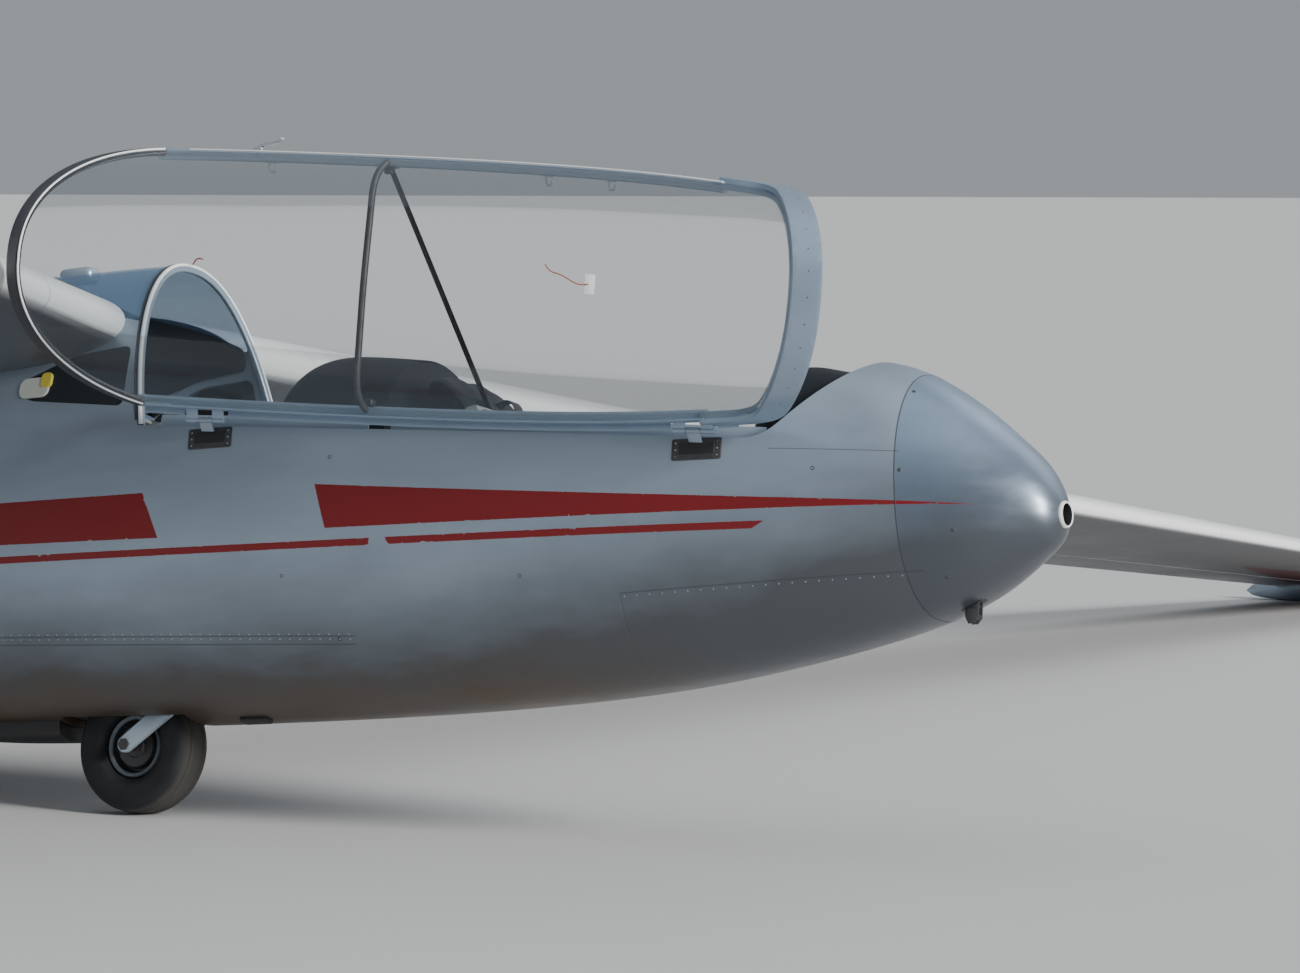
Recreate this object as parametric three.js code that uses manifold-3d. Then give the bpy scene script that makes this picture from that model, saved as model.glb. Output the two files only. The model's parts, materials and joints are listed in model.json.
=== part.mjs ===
// A two-seat metal sailplane, parked with its port wing tip on the ground and its canopy open.
// Millimetres. Airframe frame: origin at the main axle, +X forward, +Y to port, +Z up.
import * as THREE from "three";
import { mergeVertices } from "three/addons/utils/BufferGeometryUtils.js";
import Module from "manifold-3d";

const wasm = await Module();
wasm.setup();

// Clearances
const TOUCH = 0.3; // between pieces that sit on each other
const CLEAR = 6.3; // around a piece that moves
const FAR = 3000; // past every piece, for cutting shapes

const V = (x, y, z) => new THREE.Vector3(x, y, z);
const rad = THREE.MathUtils.degToRad;

// Solids: three.js shapes to manifold-3d and back

function solidOf(geometry) {
  const bare = geometry.clone();
  bare.deleteAttribute("normal");
  bare.deleteAttribute("uv");
  const merged = mergeVertices(bare, 1e-3);
  const triVerts = new Uint32Array(merged.index.array);
  const vertProperties = merged.attributes.position.array;
  const made = new wasm.Manifold(new wasm.Mesh({ numProp: 3, vertProperties, triVerts }));
  if (made.volume() > 0) return made;
  for (let i = 0; i < triVerts.length; i += 3) {
    [triVerts[i + 1], triVerts[i + 2]] = [triVerts[i + 2], triVerts[i + 1]];
  }
  return new wasm.Manifold(new wasm.Mesh({ numProp: 3, vertProperties, triVerts }));
}

function geometryOf(solid) {
  const mesh = solid.getMesh();
  const geometry = new THREE.BufferGeometry();
  geometry.setAttribute("position", new THREE.BufferAttribute(mesh.vertProperties, 3));
  geometry.setIndex(new THREE.BufferAttribute(mesh.triVerts, 1));
  geometry.computeVertexNormals();
  return geometry;
}

// A closed solid through rings of equal length; flat(v) gives a ring's own two coordinates.
function loft(rings, flat) {
  const count = rings[0].length;
  const points = rings.flat();
  const faces = [];
  for (let r = 0; r + 1 < rings.length; r++) {
    for (let i = 0; i < count; i++) {
      const a = r * count + i;
      const b = r * count + ((i + 1) % count);
      faces.push(a, b, b + count, a, b + count, a + count);
    }
  }
  const last = (rings.length - 1) * count;
  for (const [p, q, s] of THREE.ShapeUtils.triangulateShape(rings[0].map(flat), [])) {
    faces.push(...turned(p, q, s, rings[0], flat, true));
  }
  for (const [p, q, s] of THREE.ShapeUtils.triangulateShape(rings[rings.length - 1].map(flat), [])) {
    faces.push(...turned(p, q, s, rings[rings.length - 1], flat, false).map((k) => k + last));
  }
  const geometry = new THREE.BufferGeometry().setFromPoints(points);
  geometry.setIndex(faces);
  return solidOf(geometry);
}

// An end cap's triangle, wound with its ring (last ring) or against it (first ring).
function turned(p, q, s, ring, flat, against) {
  const contour = ring.map(flat);
  const cross = (contour[q].x - contour[p].x) * (contour[s].y - contour[p].y)
    - (contour[q].y - contour[p].y) * (contour[s].x - contour[p].x);
  const along = THREE.ShapeUtils.area(contour) * cross > 0;
  return along === against ? [p, s, q] : [p, q, s];
}

const flatX = (v) => new THREE.Vector2(v.y, v.z);
const flatY = (v) => new THREE.Vector2(v.x, v.z);
const flatZ = (v) => new THREE.Vector2(v.x, v.y);

// An outline of [x, z] points between two stations across the airframe.
function prism(outline, y0, y1) {
  return loft([y0, y1].map((y) => outline.map(([x, z]) => V(x, y, z))), flatY);
}

function block(x0, x1, y0, y1, z0, z1) {
  const box = new THREE.BoxGeometry(x1 - x0, y1 - y0, z1 - z0);
  return solidOf(box.translate((x0 + x1) / 2, (y0 + y1) / 2, (z0 + z1) / 2));
}

// A round bar along Y (a wheel's axis), centred on a point.
function barY(radius, length, x, y, z, sides = 20) {
  return solidOf(new THREE.CylinderGeometry(radius, radius, length, sides).translate(x, y, z));
}

// An outline whose corners are rounded by short arcs.
function rounded(corners, radius, steps = 3) {
  const outline = [];
  corners.forEach((corner, i) => {
    const here = new THREE.Vector2(...corner);
    const before = new THREE.Vector2(...corners.at(i - 1)).sub(here);
    const after = new THREE.Vector2(...corners[(i + 1) % corners.length]).sub(here);
    const start = here.clone().add(before.setLength(Math.min(radius, before.length() / 2)));
    const end = here.clone().add(after.setLength(Math.min(radius, after.length() / 2)));
    for (let k = 0; k <= steps; k++) {
      const t = k / steps;
      const a = start.clone().lerp(here, t);
      outline.push(a.lerp(here.clone().lerp(end, t), t).toArray());
    }
  });
  return outline;
}

// A tube with round section along a smooth path.
function tube(points, radius, steps) {
  const section = new THREE.Shape().absarc(0, 0, radius, 0, 2 * Math.PI);
  const extrudePath = new THREE.CatmullRomCurve3(points, false, "centripetal");
  const shape = { steps, curveSegments: 5, bevelEnabled: false, extrudePath };
  return solidOf(new THREE.ExtrudeGeometry(section, shape));
}

// Hull: oval sections from the nose to the tail, with the closed canopy in the outline

const OVAL_POINTS = 36;
const OVAL_POWER = 0.9; // under 1 is a little squarer than an ellipse
const HULL = [
  // station, bottom, top, half width, height of the widest place
  [2695, 432, 484, 26, 458],
  [2678, 396, 526, 64, 462],
  [2640, 362, 588, 106, 472],
  [2570, 314, 656, 158, 482],
  [2500, 272, 716, 196, 490],
  [2400, 228, 789, 230, 503],
  [2290, 193, 846, 254, 520],
  [2180, 167, 876, 272, 538],
  [2000, 132, 942, 292, 560],
  [1700, 88, 1034, 316, 585],
  [1400, 64, 1110, 330, 600],
  [1000, 50, 1192, 340, 612],
  [600, 48, 1246, 345, 620],
  [200, 52, 1284, 346, 625],
  [-300, 66, 1290, 338, 630],
  [-900, 100, 1262, 308, 640],
  [-1600, 170, 1178, 258, 640],
  [-2400, 262, 1062, 206, 640],
  [-3300, 352, 934, 160, 635],
  [-4300, 424, 836, 122, 628],
  [-5460, 486, 762, 86, 622],
];

function oval([x, bottom, top, half, wide], inset) {
  const ring = [];
  for (let i = 0; i < OVAL_POINTS; i++) {
    const angle = (i / OVAL_POINTS) * 2 * Math.PI;
    const across = Math.sign(Math.cos(angle)) * Math.abs(Math.cos(angle)) ** OVAL_POWER;
    const up = Math.sign(Math.sin(angle)) * Math.abs(Math.sin(angle)) ** OVAL_POWER;
    const height = (up > 0 ? top - wide : wide - bottom) - inset;
    ring.push(V(x, across * (half - inset), wide + up * height));
  }
  return ring;
}

// The hull's outer form, moved inwards by inset, between two stations of the table.
function hull(inset, from = -5460, to = 2695) {
  const rows = HULL.filter(([x]) => x >= from && x <= to);
  return loft(rows.map((row) => oval(row, inset)), flatX);
}

const SKIN = 18; // skin, frames and lining together
const PANE = 5;
const PANE_DEPTH = 3;

const CABIN = [-300, 2290]; // the cockpit's rear and front ends
const AROUND = [-900, 2400]; // for shapes that are cut from the skin's inner side

const outer = hull(0);
const cabin = hull(SKIN, ...CABIN); // the hollow of the cockpit
const inCabin = hull(SKIN + TOUCH, ...AROUND); // what lies against the skin from inside
const outsideHull = hull(-TOUCH); // what lies against the skin from outside

// Cockpit opening, in side view
const SILL_REAR = [202, 799];
const SILL_FRONT = [2008, 648];
const NOSE_CUT = [2244, 868]; // where the opening ends on top of the nose
const HOOP_LEAN = 87 / 490; // the rear hoop leans aft as it rises
const HOOP_THICK = 16;
const HOOP_DEEP = 24;
const hoopX = (z) => SILL_REAR[0] - (z - SILL_REAR[1]) * HOOP_LEAN;
const SILL_SLOPE = (SILL_FRONT[1] - SILL_REAR[1]) / (SILL_FRONT[0] - SILL_REAR[0]);
const sillZ = (x) => SILL_REAR[1] + (x - SILL_REAR[0]) * SILL_SLOPE;
const NOSE_SLOPE = (NOSE_CUT[1] - SILL_FRONT[1]) / (NOSE_CUT[0] - SILL_FRONT[0]);
const TOP = 1500; // over the hull

// The opening's side view, shrunk inwards by a margin at the sill, the front and the rear.
function openingOutline(low, front, rear) {
  const frontFoot = SILL_FRONT[0] - front * Math.hypot(1, 1 / NOSE_SLOPE);
  const frontX = (z) => frontFoot + (z - SILL_FRONT[1]) / NOSE_SLOPE;
  const rearX = (z) => hoopX(z) + rear;
  const x0 = rearX(SILL_REAR[1] + low);
  const x1 = (frontFoot + (low - SILL_FRONT[0] * SILL_SLOPE) / NOSE_SLOPE)
    / (1 - SILL_SLOPE / NOSE_SLOPE);
  return [
    [x0, sillZ(x0) + low], [x1, sillZ(x1) + low], [frontX(TOP), TOP], [rearX(TOP), TOP],
  ];
}

// Nose cone seam, leaning aft at its top
const SEAM_TOP = [2262, 870];
const SEAM_BOTTOM = [2362, 190];
const SEAM_SLOPE = (SEAM_TOP[0] - SEAM_BOTTOM[0]) / (SEAM_TOP[1] - SEAM_BOTTOM[1]);
const seamX = (z) => SEAM_BOTTOM[0] + (z - SEAM_BOTTOM[1]) * SEAM_SLOPE;
function aheadOfSeam(shift) {
  const outline = [[seamX(-100) + shift, -100], [FAR, -100], [FAR, TOP], [seamX(TOP) + shift, TOP]];
  return prism(outline, -FAR, FAR);
}

// Splits a surface at a hinge into a moving flap with a round nose and the fixed rest, joined
// by lugs that reach from the rest to the hinge line. from, to, cutFrom, cutTo and the lugs'
// stations are distances along the hinge from a towards b.
const FLAP_HIGH = 260;
const FLAP_LONG = 700;
const LUG = { half: 4, radius: 12, root: 10, play: 0.6 };
function splitFlap(surface, { a, b, aft, nose, from, to, cutFrom, cutTo, lugs }) {
  const along = b.clone().sub(a).normalize();
  const back = aft.clone().addScaledVector(along, -aft.dot(along)).normalize();
  const up = along.clone().cross(back);
  const local = (v) => new THREE.Vector2(v.clone().sub(a).dot(back), v.clone().sub(a).dot(up));
  const solidAlong = (outline, start, end) => loft([start, end].map((s) =>
    outline.map(([p, q]) => a.clone().addScaledVector(along, s)
      .addScaledVector(back, p).addScaledVector(up, q))), local);
  const halfTurn = (radius, aftSide) => Array.from({ length: 9 }, (_, k) => {
    const angle = Math.PI / 2 - (k / 8) * Math.PI * aftSide;
    return [radius * Math.cos(angle), -radius * Math.sin(angle)];
  });
  const flapOutline = (radius) => [
    [0, -FLAP_HIGH], ...halfTurn(radius, -1),
    [0, FLAP_HIGH], [FLAP_LONG, FLAP_HIGH], [FLAP_LONG, -FLAP_HIGH],
  ];
  const reach = nose + CLEAR;
  const lugOutline = [
    [-reach - LUG.root, -LUG.radius], ...halfTurn(LUG.radius, 1), [-reach - LUG.root, LUG.radius],
  ];
  const notchOutline = [
    [-reach, -reach], [LUG.radius + 4, -reach], [LUG.radius + 4, reach], [-reach, reach],
  ];
  const slot = solidAlong(flapOutline(reach), cutFrom, cutTo);
  let flap = surface.intersect(solidAlong(flapOutline(nose), from, to));
  let rest = surface.subtract(slot);
  for (const s of lugs) {
    rest = rest.add(solidAlong(lugOutline, s - LUG.half, s + LUG.half));
    flap = flap.subtract(solidAlong(notchOutline, s - LUG.half - LUG.play, s + LUG.half + LUG.play));
  }
  return { flap, rest, slot };
}

// Wing

const WING_ROOT_Y = 330;
const WING_TIP_Y = 8050;
const WING = {
  root: { y: 90, chord: 1679, thick: 0.15, pitch: rad(4) },
  tip: { y: WING_TIP_Y, chord: 700, thick: 0.12, pitch: rad(1) },
  camber: 0.03,
  lead: { x: 86, z: 1088 }, // leading edge at the side of the hull
  sweepForward: Math.tan(rad(3)),
  dihedral: Math.tan(rad(3)),
};
const PROFILE_STEPS = 11;

function meanLine(t, camber) {
  const ahead = (camber / 0.16) * (0.8 * t - t * t);
  const behind = (camber / 0.36) * (0.2 + 0.8 * t - t * t);
  return t < 0.4 ? ahead : behind;
}

// A four-digit style aerofoil as [along, up] pairs for a unit chord, from the trailing edge
// over the top to the leading edge and back underneath.
function aerofoil(thick, camber, swell) {
  const half = (t) => 5 * thick * (0.2969 * Math.sqrt(t) - 0.126 * t - 0.3516 * t ** 2
    + 0.2843 * t ** 3 - 0.1015 * t ** 4) + swell;
  const mean = (t) => meanLine(t, camber);
  const outline = [];
  for (let k = 0; k <= PROFILE_STEPS; k++) {
    const t = (1 + Math.cos((k / PROFILE_STEPS) * Math.PI)) / 2;
    outline.push([t - (t === 0 ? swell : 0), mean(t) + (t === 0 ? 0 : half(t))]);
  }
  for (let k = 1; k <= PROFILE_STEPS; k++) {
    const t = (1 - Math.cos((k / PROFILE_STEPS) * Math.PI)) / 2;
    outline.push([t, mean(t) - half(t)]);
  }
  return outline;
}

// A point of a wing section: along and up are parts of its chord.
function sectionPoint({ y, chord, pitch }, along, up) {
  const out = y - WING_ROOT_Y;
  return V(
    WING.lead.x + out * WING.sweepForward
      - chord * (along * Math.cos(pitch) - up * Math.sin(pitch)),
    y,
    WING.lead.z + out * WING.dihedral
      + chord * (up * Math.cos(pitch) - along * Math.sin(pitch)),
  );
}

// A point of the port wing, which is straight from its root section to its tip section.
function wingPoint(y, along, up) {
  const t = (y - WING.root.y) / (WING.tip.y - WING.root.y);
  return sectionPoint(WING.root, along, up).lerp(sectionPoint(WING.tip, along, up), t);
}

function wingSolid(swell) {
  const tip = { ...WING.tip, y: WING.tip.y + swell };
  const rings = [WING.root, tip].map((section) =>
    aerofoil(section.thick, WING.camber, swell / section.chord)
      .map(([along, up]) => sectionPoint(section, along, up)));
  return loft(rings, flatY);
}

// Aileron, on the outer part of the wing
const AILERON = { inner: 4350, outer: 7930, at: 0.72, nose: 51 };
const aileronHinge = [AILERON.inner, AILERON.outer].map((y) =>
  wingPoint(y, AILERON.at, meanLine(AILERON.at, WING.camber)));

// Airbrakes: a plate above and a plate below the wing, that slide straight out of it
const BRAKE = { inner: 2350, outer: 3500, at: 0.42, thick: 8, high: 62, recess: 10 };
function brakeFrame(upper) {
  const middle = (BRAKE.inner + BRAKE.outer) / 2;
  const inner = wingPoint(BRAKE.inner, BRAKE.at, 0);
  const along = wingPoint(BRAKE.outer, BRAKE.at, 0).sub(inner).normalize();
  const back = V(-1, 0, 0).addScaledVector(along, along.x).normalize();
  const out = along.clone().cross(back).multiplyScalar(upper ? 1 : -1);
  const thick = THREE.MathUtils.mapLinear(middle, WING.root.y, WING.tip.y,
    WING.root.thick, WING.tip.thick);
  const near = aerofoil(thick, WING.camber, 0)
    .filter(([t, u]) => Math.abs(t - BRAKE.at) < 0.12 && u > 0 === upper);
  const height = near.reduce((sum, [, u]) => sum + u, 0) / near.length;
  return { along, back, out, surface: wingPoint(middle, BRAKE.at, height) };
}

// Mirrors a port piece to starboard.
function mirrored(solid) {
  const mesh = solid.getMesh();
  const geometry = new THREE.BufferGeometry();
  geometry.setAttribute("position", new THREE.BufferAttribute(mesh.vertProperties, 3));
  geometry.setIndex(new THREE.BufferAttribute(mesh.triVerts, 1));
  return solidOf(geometry.scale(1, -1, 1));
}

// Fin, rudder, tailplane and elevator

const FIN = {
  base: { z: 500, lead: -4392, trail: -5735, thick: 0.095 },
  top: { z: 2160, lead: -5010, trail: -5805, thick: 0.1 },
  hingeLow: V(-5268, 0, 500),
  hingeHigh: V(-5470, 0, 2160),
  nose: 50,
};
const RUDDER_LOW = 8; // above the low end of the hinge line
const RUDDER_HIGH = 2064;
const TAILPLANE = {
  root: { y: 0, lead: -4862, chord: 948, thick: 0.1 },
  tip: { y: 1650, lead: -4990, chord: 662, thick: 0.1 },
  z: 2172,
  hingeX: -5424,
  nose: 40,
  notchNear: 64,
  notchFar: 262,
};

function finSolid() {
  const rings = [FIN.base, FIN.top].map(({ z, lead, trail, thick }) =>
    aerofoil(thick, 0, 0).map(([t, u]) =>
      V(lead + t * (trail - lead), u * (lead - trail), z)));
  return loft(rings, flatZ);
}

function tailplaneSolid(swell) {
  const { root, tip, z } = TAILPLANE;
  const rings = [{ ...tip, y: -tip.y }, root, tip].map(({ y, lead, chord, thick }) =>
    aerofoil(thick, 0, swell / chord).map(([t, u]) => V(lead - t * chord, y, z + u * chord)));
  return loft(rings, flatY);
}

// Wheels

const MAIN = { radius: 175, half: 66, rim: 84, bore: 12.6, sides: 40 };
const TAIL = { radius: 100, half: 34, rim: 46, bore: 8.5, sides: 28, x: -5100, z: 402 };

// A tyre's closed section turned about Y.
function tyre({ radius, half, rim, sides }, steps = 12) {
  const middle = (radius + rim) / 2;
  const deep = (radius - rim) / 2;
  const profile = [];
  for (let k = 0; k <= steps; k++) {
    const angle = (k / steps) * 2 * Math.PI;
    const round = (value) => Math.sign(value) * Math.abs(value) ** 0.75;
    profile.push(new THREE.Vector2(
      middle + deep * round(Math.cos(angle)), half * round(Math.sin(angle)),
    ));
  }
  profile[steps].copy(profile[0]);
  return new THREE.LatheGeometry(profile, sides);
}

// A dished wheel disc with a bore, turned about Y.
function wheelDisc({ half, rim, bore, sides }) {
  const seat = rim - TOUCH - 0.6;
  const flange = half * 0.55;
  const profile = [
    [bore, -half * 0.62], [bore * 2.4, -half * 0.62], [bore * 2.6, -half * 0.25],
    [seat - 14, -half * 0.25], [seat - 8, -flange], [seat, -flange],
    [seat, flange], [seat - 8, flange], [seat - 14, half * 0.25],
    [bore * 2.6, half * 0.25], [bore * 2.4, half * 0.62], [bore, half * 0.62],
    [bore, -half * 0.62],
  ];
  return new THREE.LatheGeometry(profile.map(([r, y]) => new THREE.Vector2(r, y)), sides - 8);
}

// Scene graph

const root = new THREE.Group();
const airframe = new THREE.Group();
root.add(airframe);

const finish = (color, roughness, metalness) =>
  new THREE.MeshStandardMaterial({ color, roughness, metalness });
const SILVER = finish(0xb9bcc0, 0.35, 0.6);
const WHITE = finish(0xe8e9e8, 0.4, 0.1);
const BLACK = finish(0x1a1b1c, 0.7, 0);
const RUBBER = finish(0x18181a, 0.85, 0);
const RED = finish(0x6a1f24, 0.85, 0);
const GREY = finish(0x8d9296, 0.5, 0.4);
const PALE = finish(0xc9d4dc, 0.45, 0.3);
const GLASS = finish(0xdfeaf0, 0.05, 0);
GLASS.transparent = true;
GLASS.opacity = 0.3;

function add(name, shape, material, group = airframe) {
  const geometry = shape.isBufferGeometry ? shape : geometryOf(shape);
  const mesh = new THREE.Mesh(geometry, material);
  mesh.name = name;
  group.add(mesh);
  return mesh;
}

// A pivot whose own X lies along a hinge from a to b. Its pieces are given in the airframe's
// frame, as they lie when the hinge is at shut.
function pivot(name, a, b, shut = 0) {
  const group = new THREE.Group();
  group.name = name;
  group.position.copy(a);
  group.quaternion.setFromUnitVectors(V(1, 0, 0), b.clone().sub(a).normalize());
  group.updateMatrix();
  group.userData.inverse = group.matrix.clone().invert();
  group.rotateX(shut);
  airframe.add(group);
  return group;
}
function addTo(group, name, solid, material) {
  return add(name, geometryOf(solid).applyMatrix4(group.userData.inverse), material, group);
}

// Nose

add("nose_cone", outer.intersect(aheadOfSeam(TOUCH / 2)), SILVER);

const VENT = { outer: 24, inner: 15, long: 7 };
const ventRing = new THREE.LatheGeometry([
  [VENT.inner, 0], [VENT.outer, 0], [VENT.outer - 3, VENT.long], [VENT.inner, VENT.long],
  [VENT.inner, 0],
].map(([r, y]) => new THREE.Vector2(r, y)), 24).rotateZ(-Math.PI / 2);
add("nose_vent_ring", ventRing, GREY).position.set(HULL[0][0] + TOUCH, 0, HULL[0][4]);

// Tow hook under the nose: a plate on the skin, two cheeks and a hook between them
const HOOK = { x: 2436, z: 236, drop: 34 };
function towHook() {
  const plate = block(HOOK.x - 34, HOOK.x + 26, -17, 17, HOOK.z - 4, HOOK.z + 70);
  const cheeks = block(HOOK.x - 26, HOOK.x + 14, -14, 14, HOOK.z - HOOK.drop, HOOK.z);
  const mouth = block(HOOK.x - 12, HOOK.x + 40, -20, 20, HOOK.z - HOOK.drop + 10, HOOK.z - 12);
  return plate.add(cheeks).subtract(mouth).subtract(outsideHull);
}
add("tow_hook", towHook(), GREY);

// Forward fuselage: a hollow shell with the cockpit opening, side windows and wheel opening

const FRAME_JOINT = -640; // where the aft fuselage begins
const WELL = { x: 197, y: 100, z: 190, wall: 6 };
const WINDOW = rounded([
  [128, 1024], [132, 856], [-184, 893], [-224, 928], [-205, 950], [-44, 1012],
], 26);
const REAR_PANE_LOW = [[140, 1092], [-300, 1206]];

function rearPaneOutline(shrink) {
  const [front, back] = REAR_PANE_LOW;
  const behindHoop = (z) => hoopX(z) - HOOP_THICK - 2 * TOUCH - shrink;
  return [
    [behindHoop(front[1]), front[1] + shrink], [behindHoop(TOP), TOP],
    [back[0] + shrink, TOP], [back[0] + shrink, back[1] + shrink],
  ];
}

const openingCut = prism(openingOutline(0, 0, -HOOP_THICK - TOUCH), -FAR, FAR);
const windowCut = prism(WINDOW, -FAR, FAR);

const forwardShell = outer
  .intersect(block(FRAME_JOINT + TOUCH / 2, FAR, -FAR, FAR, -FAR, FAR))
  .subtract(aheadOfSeam(-TOUCH / 2))
  .subtract(cabin.subtract(aheadOfSeam(-SKIN)))
  .subtract(openingCut)
  .subtract(windowCut)
  .subtract(prism(rearPaneOutline(0), -FAR, FAR))
  .subtract(block(-WELL.x, WELL.x, -WELL.y, WELL.y, -FAR, WELL.z));
add("fuselage_forward", forwardShell, SILVER);

const paneShell = hull(PANE_DEPTH, ...AROUND).subtract(hull(PANE_DEPTH + PANE, ...AROUND));
const WINDOW_MIDDLE = new THREE.Vector2(-30, 945);
const WINDOW_PLAY = 1; // between a pane and its opening
const shrunkWindow = prism(WINDOW.map(([x, z]) => {
  const point = new THREE.Vector2(x, z).sub(WINDOW_MIDDLE);
  return point.setLength(point.length() - WINDOW_PLAY).add(WINDOW_MIDDLE).toArray();
}), 0, FAR);
const portWindow = paneShell.intersect(shrunkWindow);
add("side_window_port", portWindow, GLASS);
add("side_window_starboard", mirrored(portWindow), GLASS);
add("rear_top_pane", paneShell.intersect(prism(rearPaneOutline(0.5), -FAR, FAR)), GLASS);

function hoopZone() {
  const ahead = (z) => hoopX(z);
  const behind = (z) => hoopX(z) - HOOP_THICK;
  const low = SILL_REAR[1] + 2;
  return prism([[ahead(low), low], [ahead(TOP), TOP], [behind(TOP), TOP], [behind(low), low]],
    -FAR, FAR);
}
add("canopy_rear_hoop", outer.subtract(hull(HOOP_DEEP)).intersect(hoopZone()), WHITE);

// Cockpit

const FLOOR = { low: 130, thick: 12, front: 1900 };
const floorTop = FLOOR.low + FLOOR.thick;

// A box closed on top that keeps the main wheel's recess apart from the cockpit.
function wheelWell() {
  const { x, y, z, wall } = WELL;
  return block(-x - wall, x + wall, -y - wall, y + wall, -FAR, z + wall)
    .subtract(block(-x, x, -y, y, -FAR * 2, z))
    .intersect(inCabin);
}
add("wheel_well", wheelWell(), SILVER);

const floorBoard = block(WELL.x + WELL.wall + TOUCH, FLOOR.front, -FAR, FAR, FLOOR.low, floorTop);
add("cockpit_floor", floorBoard.intersect(inCabin), GREY);

// A seat's side view: feet on the floor, a pan and a back that leans aft.
function seat(x, backTop, panFront) {
  const floor = floorTop + TOUCH;
  const outline = [
    [x + panFront, floor], [x + panFront, 300], [x + panFront - 60, 312], [x + 60, 262],
    [x - 150, backTop], [x - 186, backTop - 8], [x + 22, 232], [x + 22, floor],
    [x + 52, floor], [x + 52, 238], [x + panFront - 34, 282], [x + panFront - 30, floor],
  ];
  return prism(outline, -215, 215);
}
const SEAT = {
  // name: foot of the seat back, top of the back, pan's front end from the foot
  front: [1296, 806, 430],
  rear: [215, 860, 290],
};
for (const [place, [x, backTop, panFront]] of Object.entries(SEAT)) {
  add(`seat_${place}`, seat(x, backTop, panFront).intersect(inCabin), BLACK);
}

// Panels: a board across the cabin, with a padded hood over it that overhangs it aft
const LINING = { deep: 7, from: 250, to: 1900, low: 230, high: 24 };
const insideLining = hull(SKIN + LINING.deep + 2 * TOUCH, ...AROUND);
const PANEL = {
  // name: board's station, board's foot
  front: [1992, 440],
  rear: [600, 520],
};
const BOARD = 6;
const HOOD_FOOT = 60; // from the sill down to the hood's foot
const HOOD_THICK = 14;
const HOOD = {
  // name: stations, half width, top
  front: [[1940, 206, 806], [1962, 228, 842], [1992, 238, 862], [2080, 232, 856], [2218, 206, 828]],
  rear: [
    [494, 160, 858], [522, 206, 918], [560, 236, 962], [600, 250, 984], [730, 252, 990],
    [884, 238, 970],
  ],
};
const HOOD_ROUND = 0.7; // under 1 is squarer than an ellipse
const HOOD_POINTS = 14;
const HOOD_PAST = 1; // how far the hood's cutter goes below its foot
const BOARD_SINK = 5; // how far a board's round top reaches down into its square foot
function hoodRing([x, half, top], low, inset) {
  const ring = [];
  for (let k = 0; k <= HOOD_POINTS; k++) {
    const angle = (k / HOOD_POINTS) * Math.PI;
    ring.push(V(x, (half - inset) * Math.cos(angle),
      low + (top - inset - low) * Math.sin(angle) ** HOOD_ROUND));
  }
  return ring;
}
for (const [place, [x, foot]] of Object.entries(PANEL)) {
  const low = sillZ(x) - HOOD_FOOT;
  const fit = place === "front" ? inCabin : insideLining;
  const overBoard = HOOD[place].find(([at]) => at === x);
  const overhang = HOOD[place].filter(([at]) => at < x);
  const boardTop = [x - BOARD, x].map((at) =>
    hoodRing([at, overBoard[1], overBoard[2]], low - BOARD_SINK, HOOD_THICK + BOARD));
  const board = block(x - BOARD, x, -FAR, FAR, foot, low - TOUCH).add(loft(boardTop, flatX));
  add(`instrument_panel_${place}`, board.intersect(fit), BLACK);
  const under = [
    hoodRing([overhang[0][0] - BOARD, ...overhang[0].slice(1)], low - HOOD_PAST, HOOD_THICK),
    ...overhang.slice(1).map((station) => hoodRing(station, low - HOOD_PAST, HOOD_THICK)),
    hoodRing([x + TOUCH, ...overBoard.slice(1)], low - HOOD_PAST, HOOD_THICK),
  ];
  const cover = loft(HOOD[place].map((station) => hoodRing(station, low, 0)), flatX)
    .subtract(loft(under, flatX))
    .intersect(fit)
    .subtract(aheadOfSeam(-SKIN - 2));
  add(`glare_shield_${place}`, cover, BLACK);
}

// Shelf across the cabin behind the front seat, with a head cushion on it
const SHELF = { rear: 944, front: 1100, low: 690, thick: 12 };
const HEADREST = {
  half: 150,
  outline: [[950, 700], [950, 902], [968, 918], [1000, 906], [1048, 866], [1086, 820], [1092, 700]],
};
const shelf = block(SHELF.rear, SHELF.front, -FAR, FAR, SHELF.low, SHELF.low + SHELF.thick)
  .add(prism(HEADREST.outline, -HEADREST.half, HEADREST.half));
add("headrest_shelf", shelf.intersect(insideLining), BLACK);

// Control sticks, one in front of each seat
const STICK = { radius: 13, high: 430, front: 1770, rear: 556 };
for (const place of ["front", "rear"]) {
  const profile = [
    [0, 0], [26, 0], [26, 22], [STICK.radius - 3, 40], [STICK.radius - 3, STICK.high - 120],
    [STICK.radius + 3, STICK.high - 110], [STICK.radius + 3, STICK.high - 8], [8, STICK.high],
    [0, STICK.high],
  ].map(([r, y]) => new THREE.Vector2(r, y));
  const stick = new THREE.LatheGeometry(profile, 14).rotateX(Math.PI / 2);
  add(`control_stick_${place}`, stick, BLACK).position.set(STICK[place], 0, floorTop + TOUCH);
}

// Dark red side lining along the sills
const lining = inCabin.subtract(hull(SKIN + TOUCH + LINING.deep, ...AROUND)).intersect(prism([
  [LINING.from, sillZ(LINING.from) - LINING.low], [LINING.to, sillZ(LINING.to) - LINING.low],
  [LINING.to, sillZ(LINING.to) - LINING.high], [LINING.from, sillZ(LINING.from) - LINING.high],
], 0, FAR));
add("side_lining_port", lining, RED);
add("side_lining_starboard", mirrored(lining), RED);

// Canopy, built shut and then swung open about its hinge on the starboard sill

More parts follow.
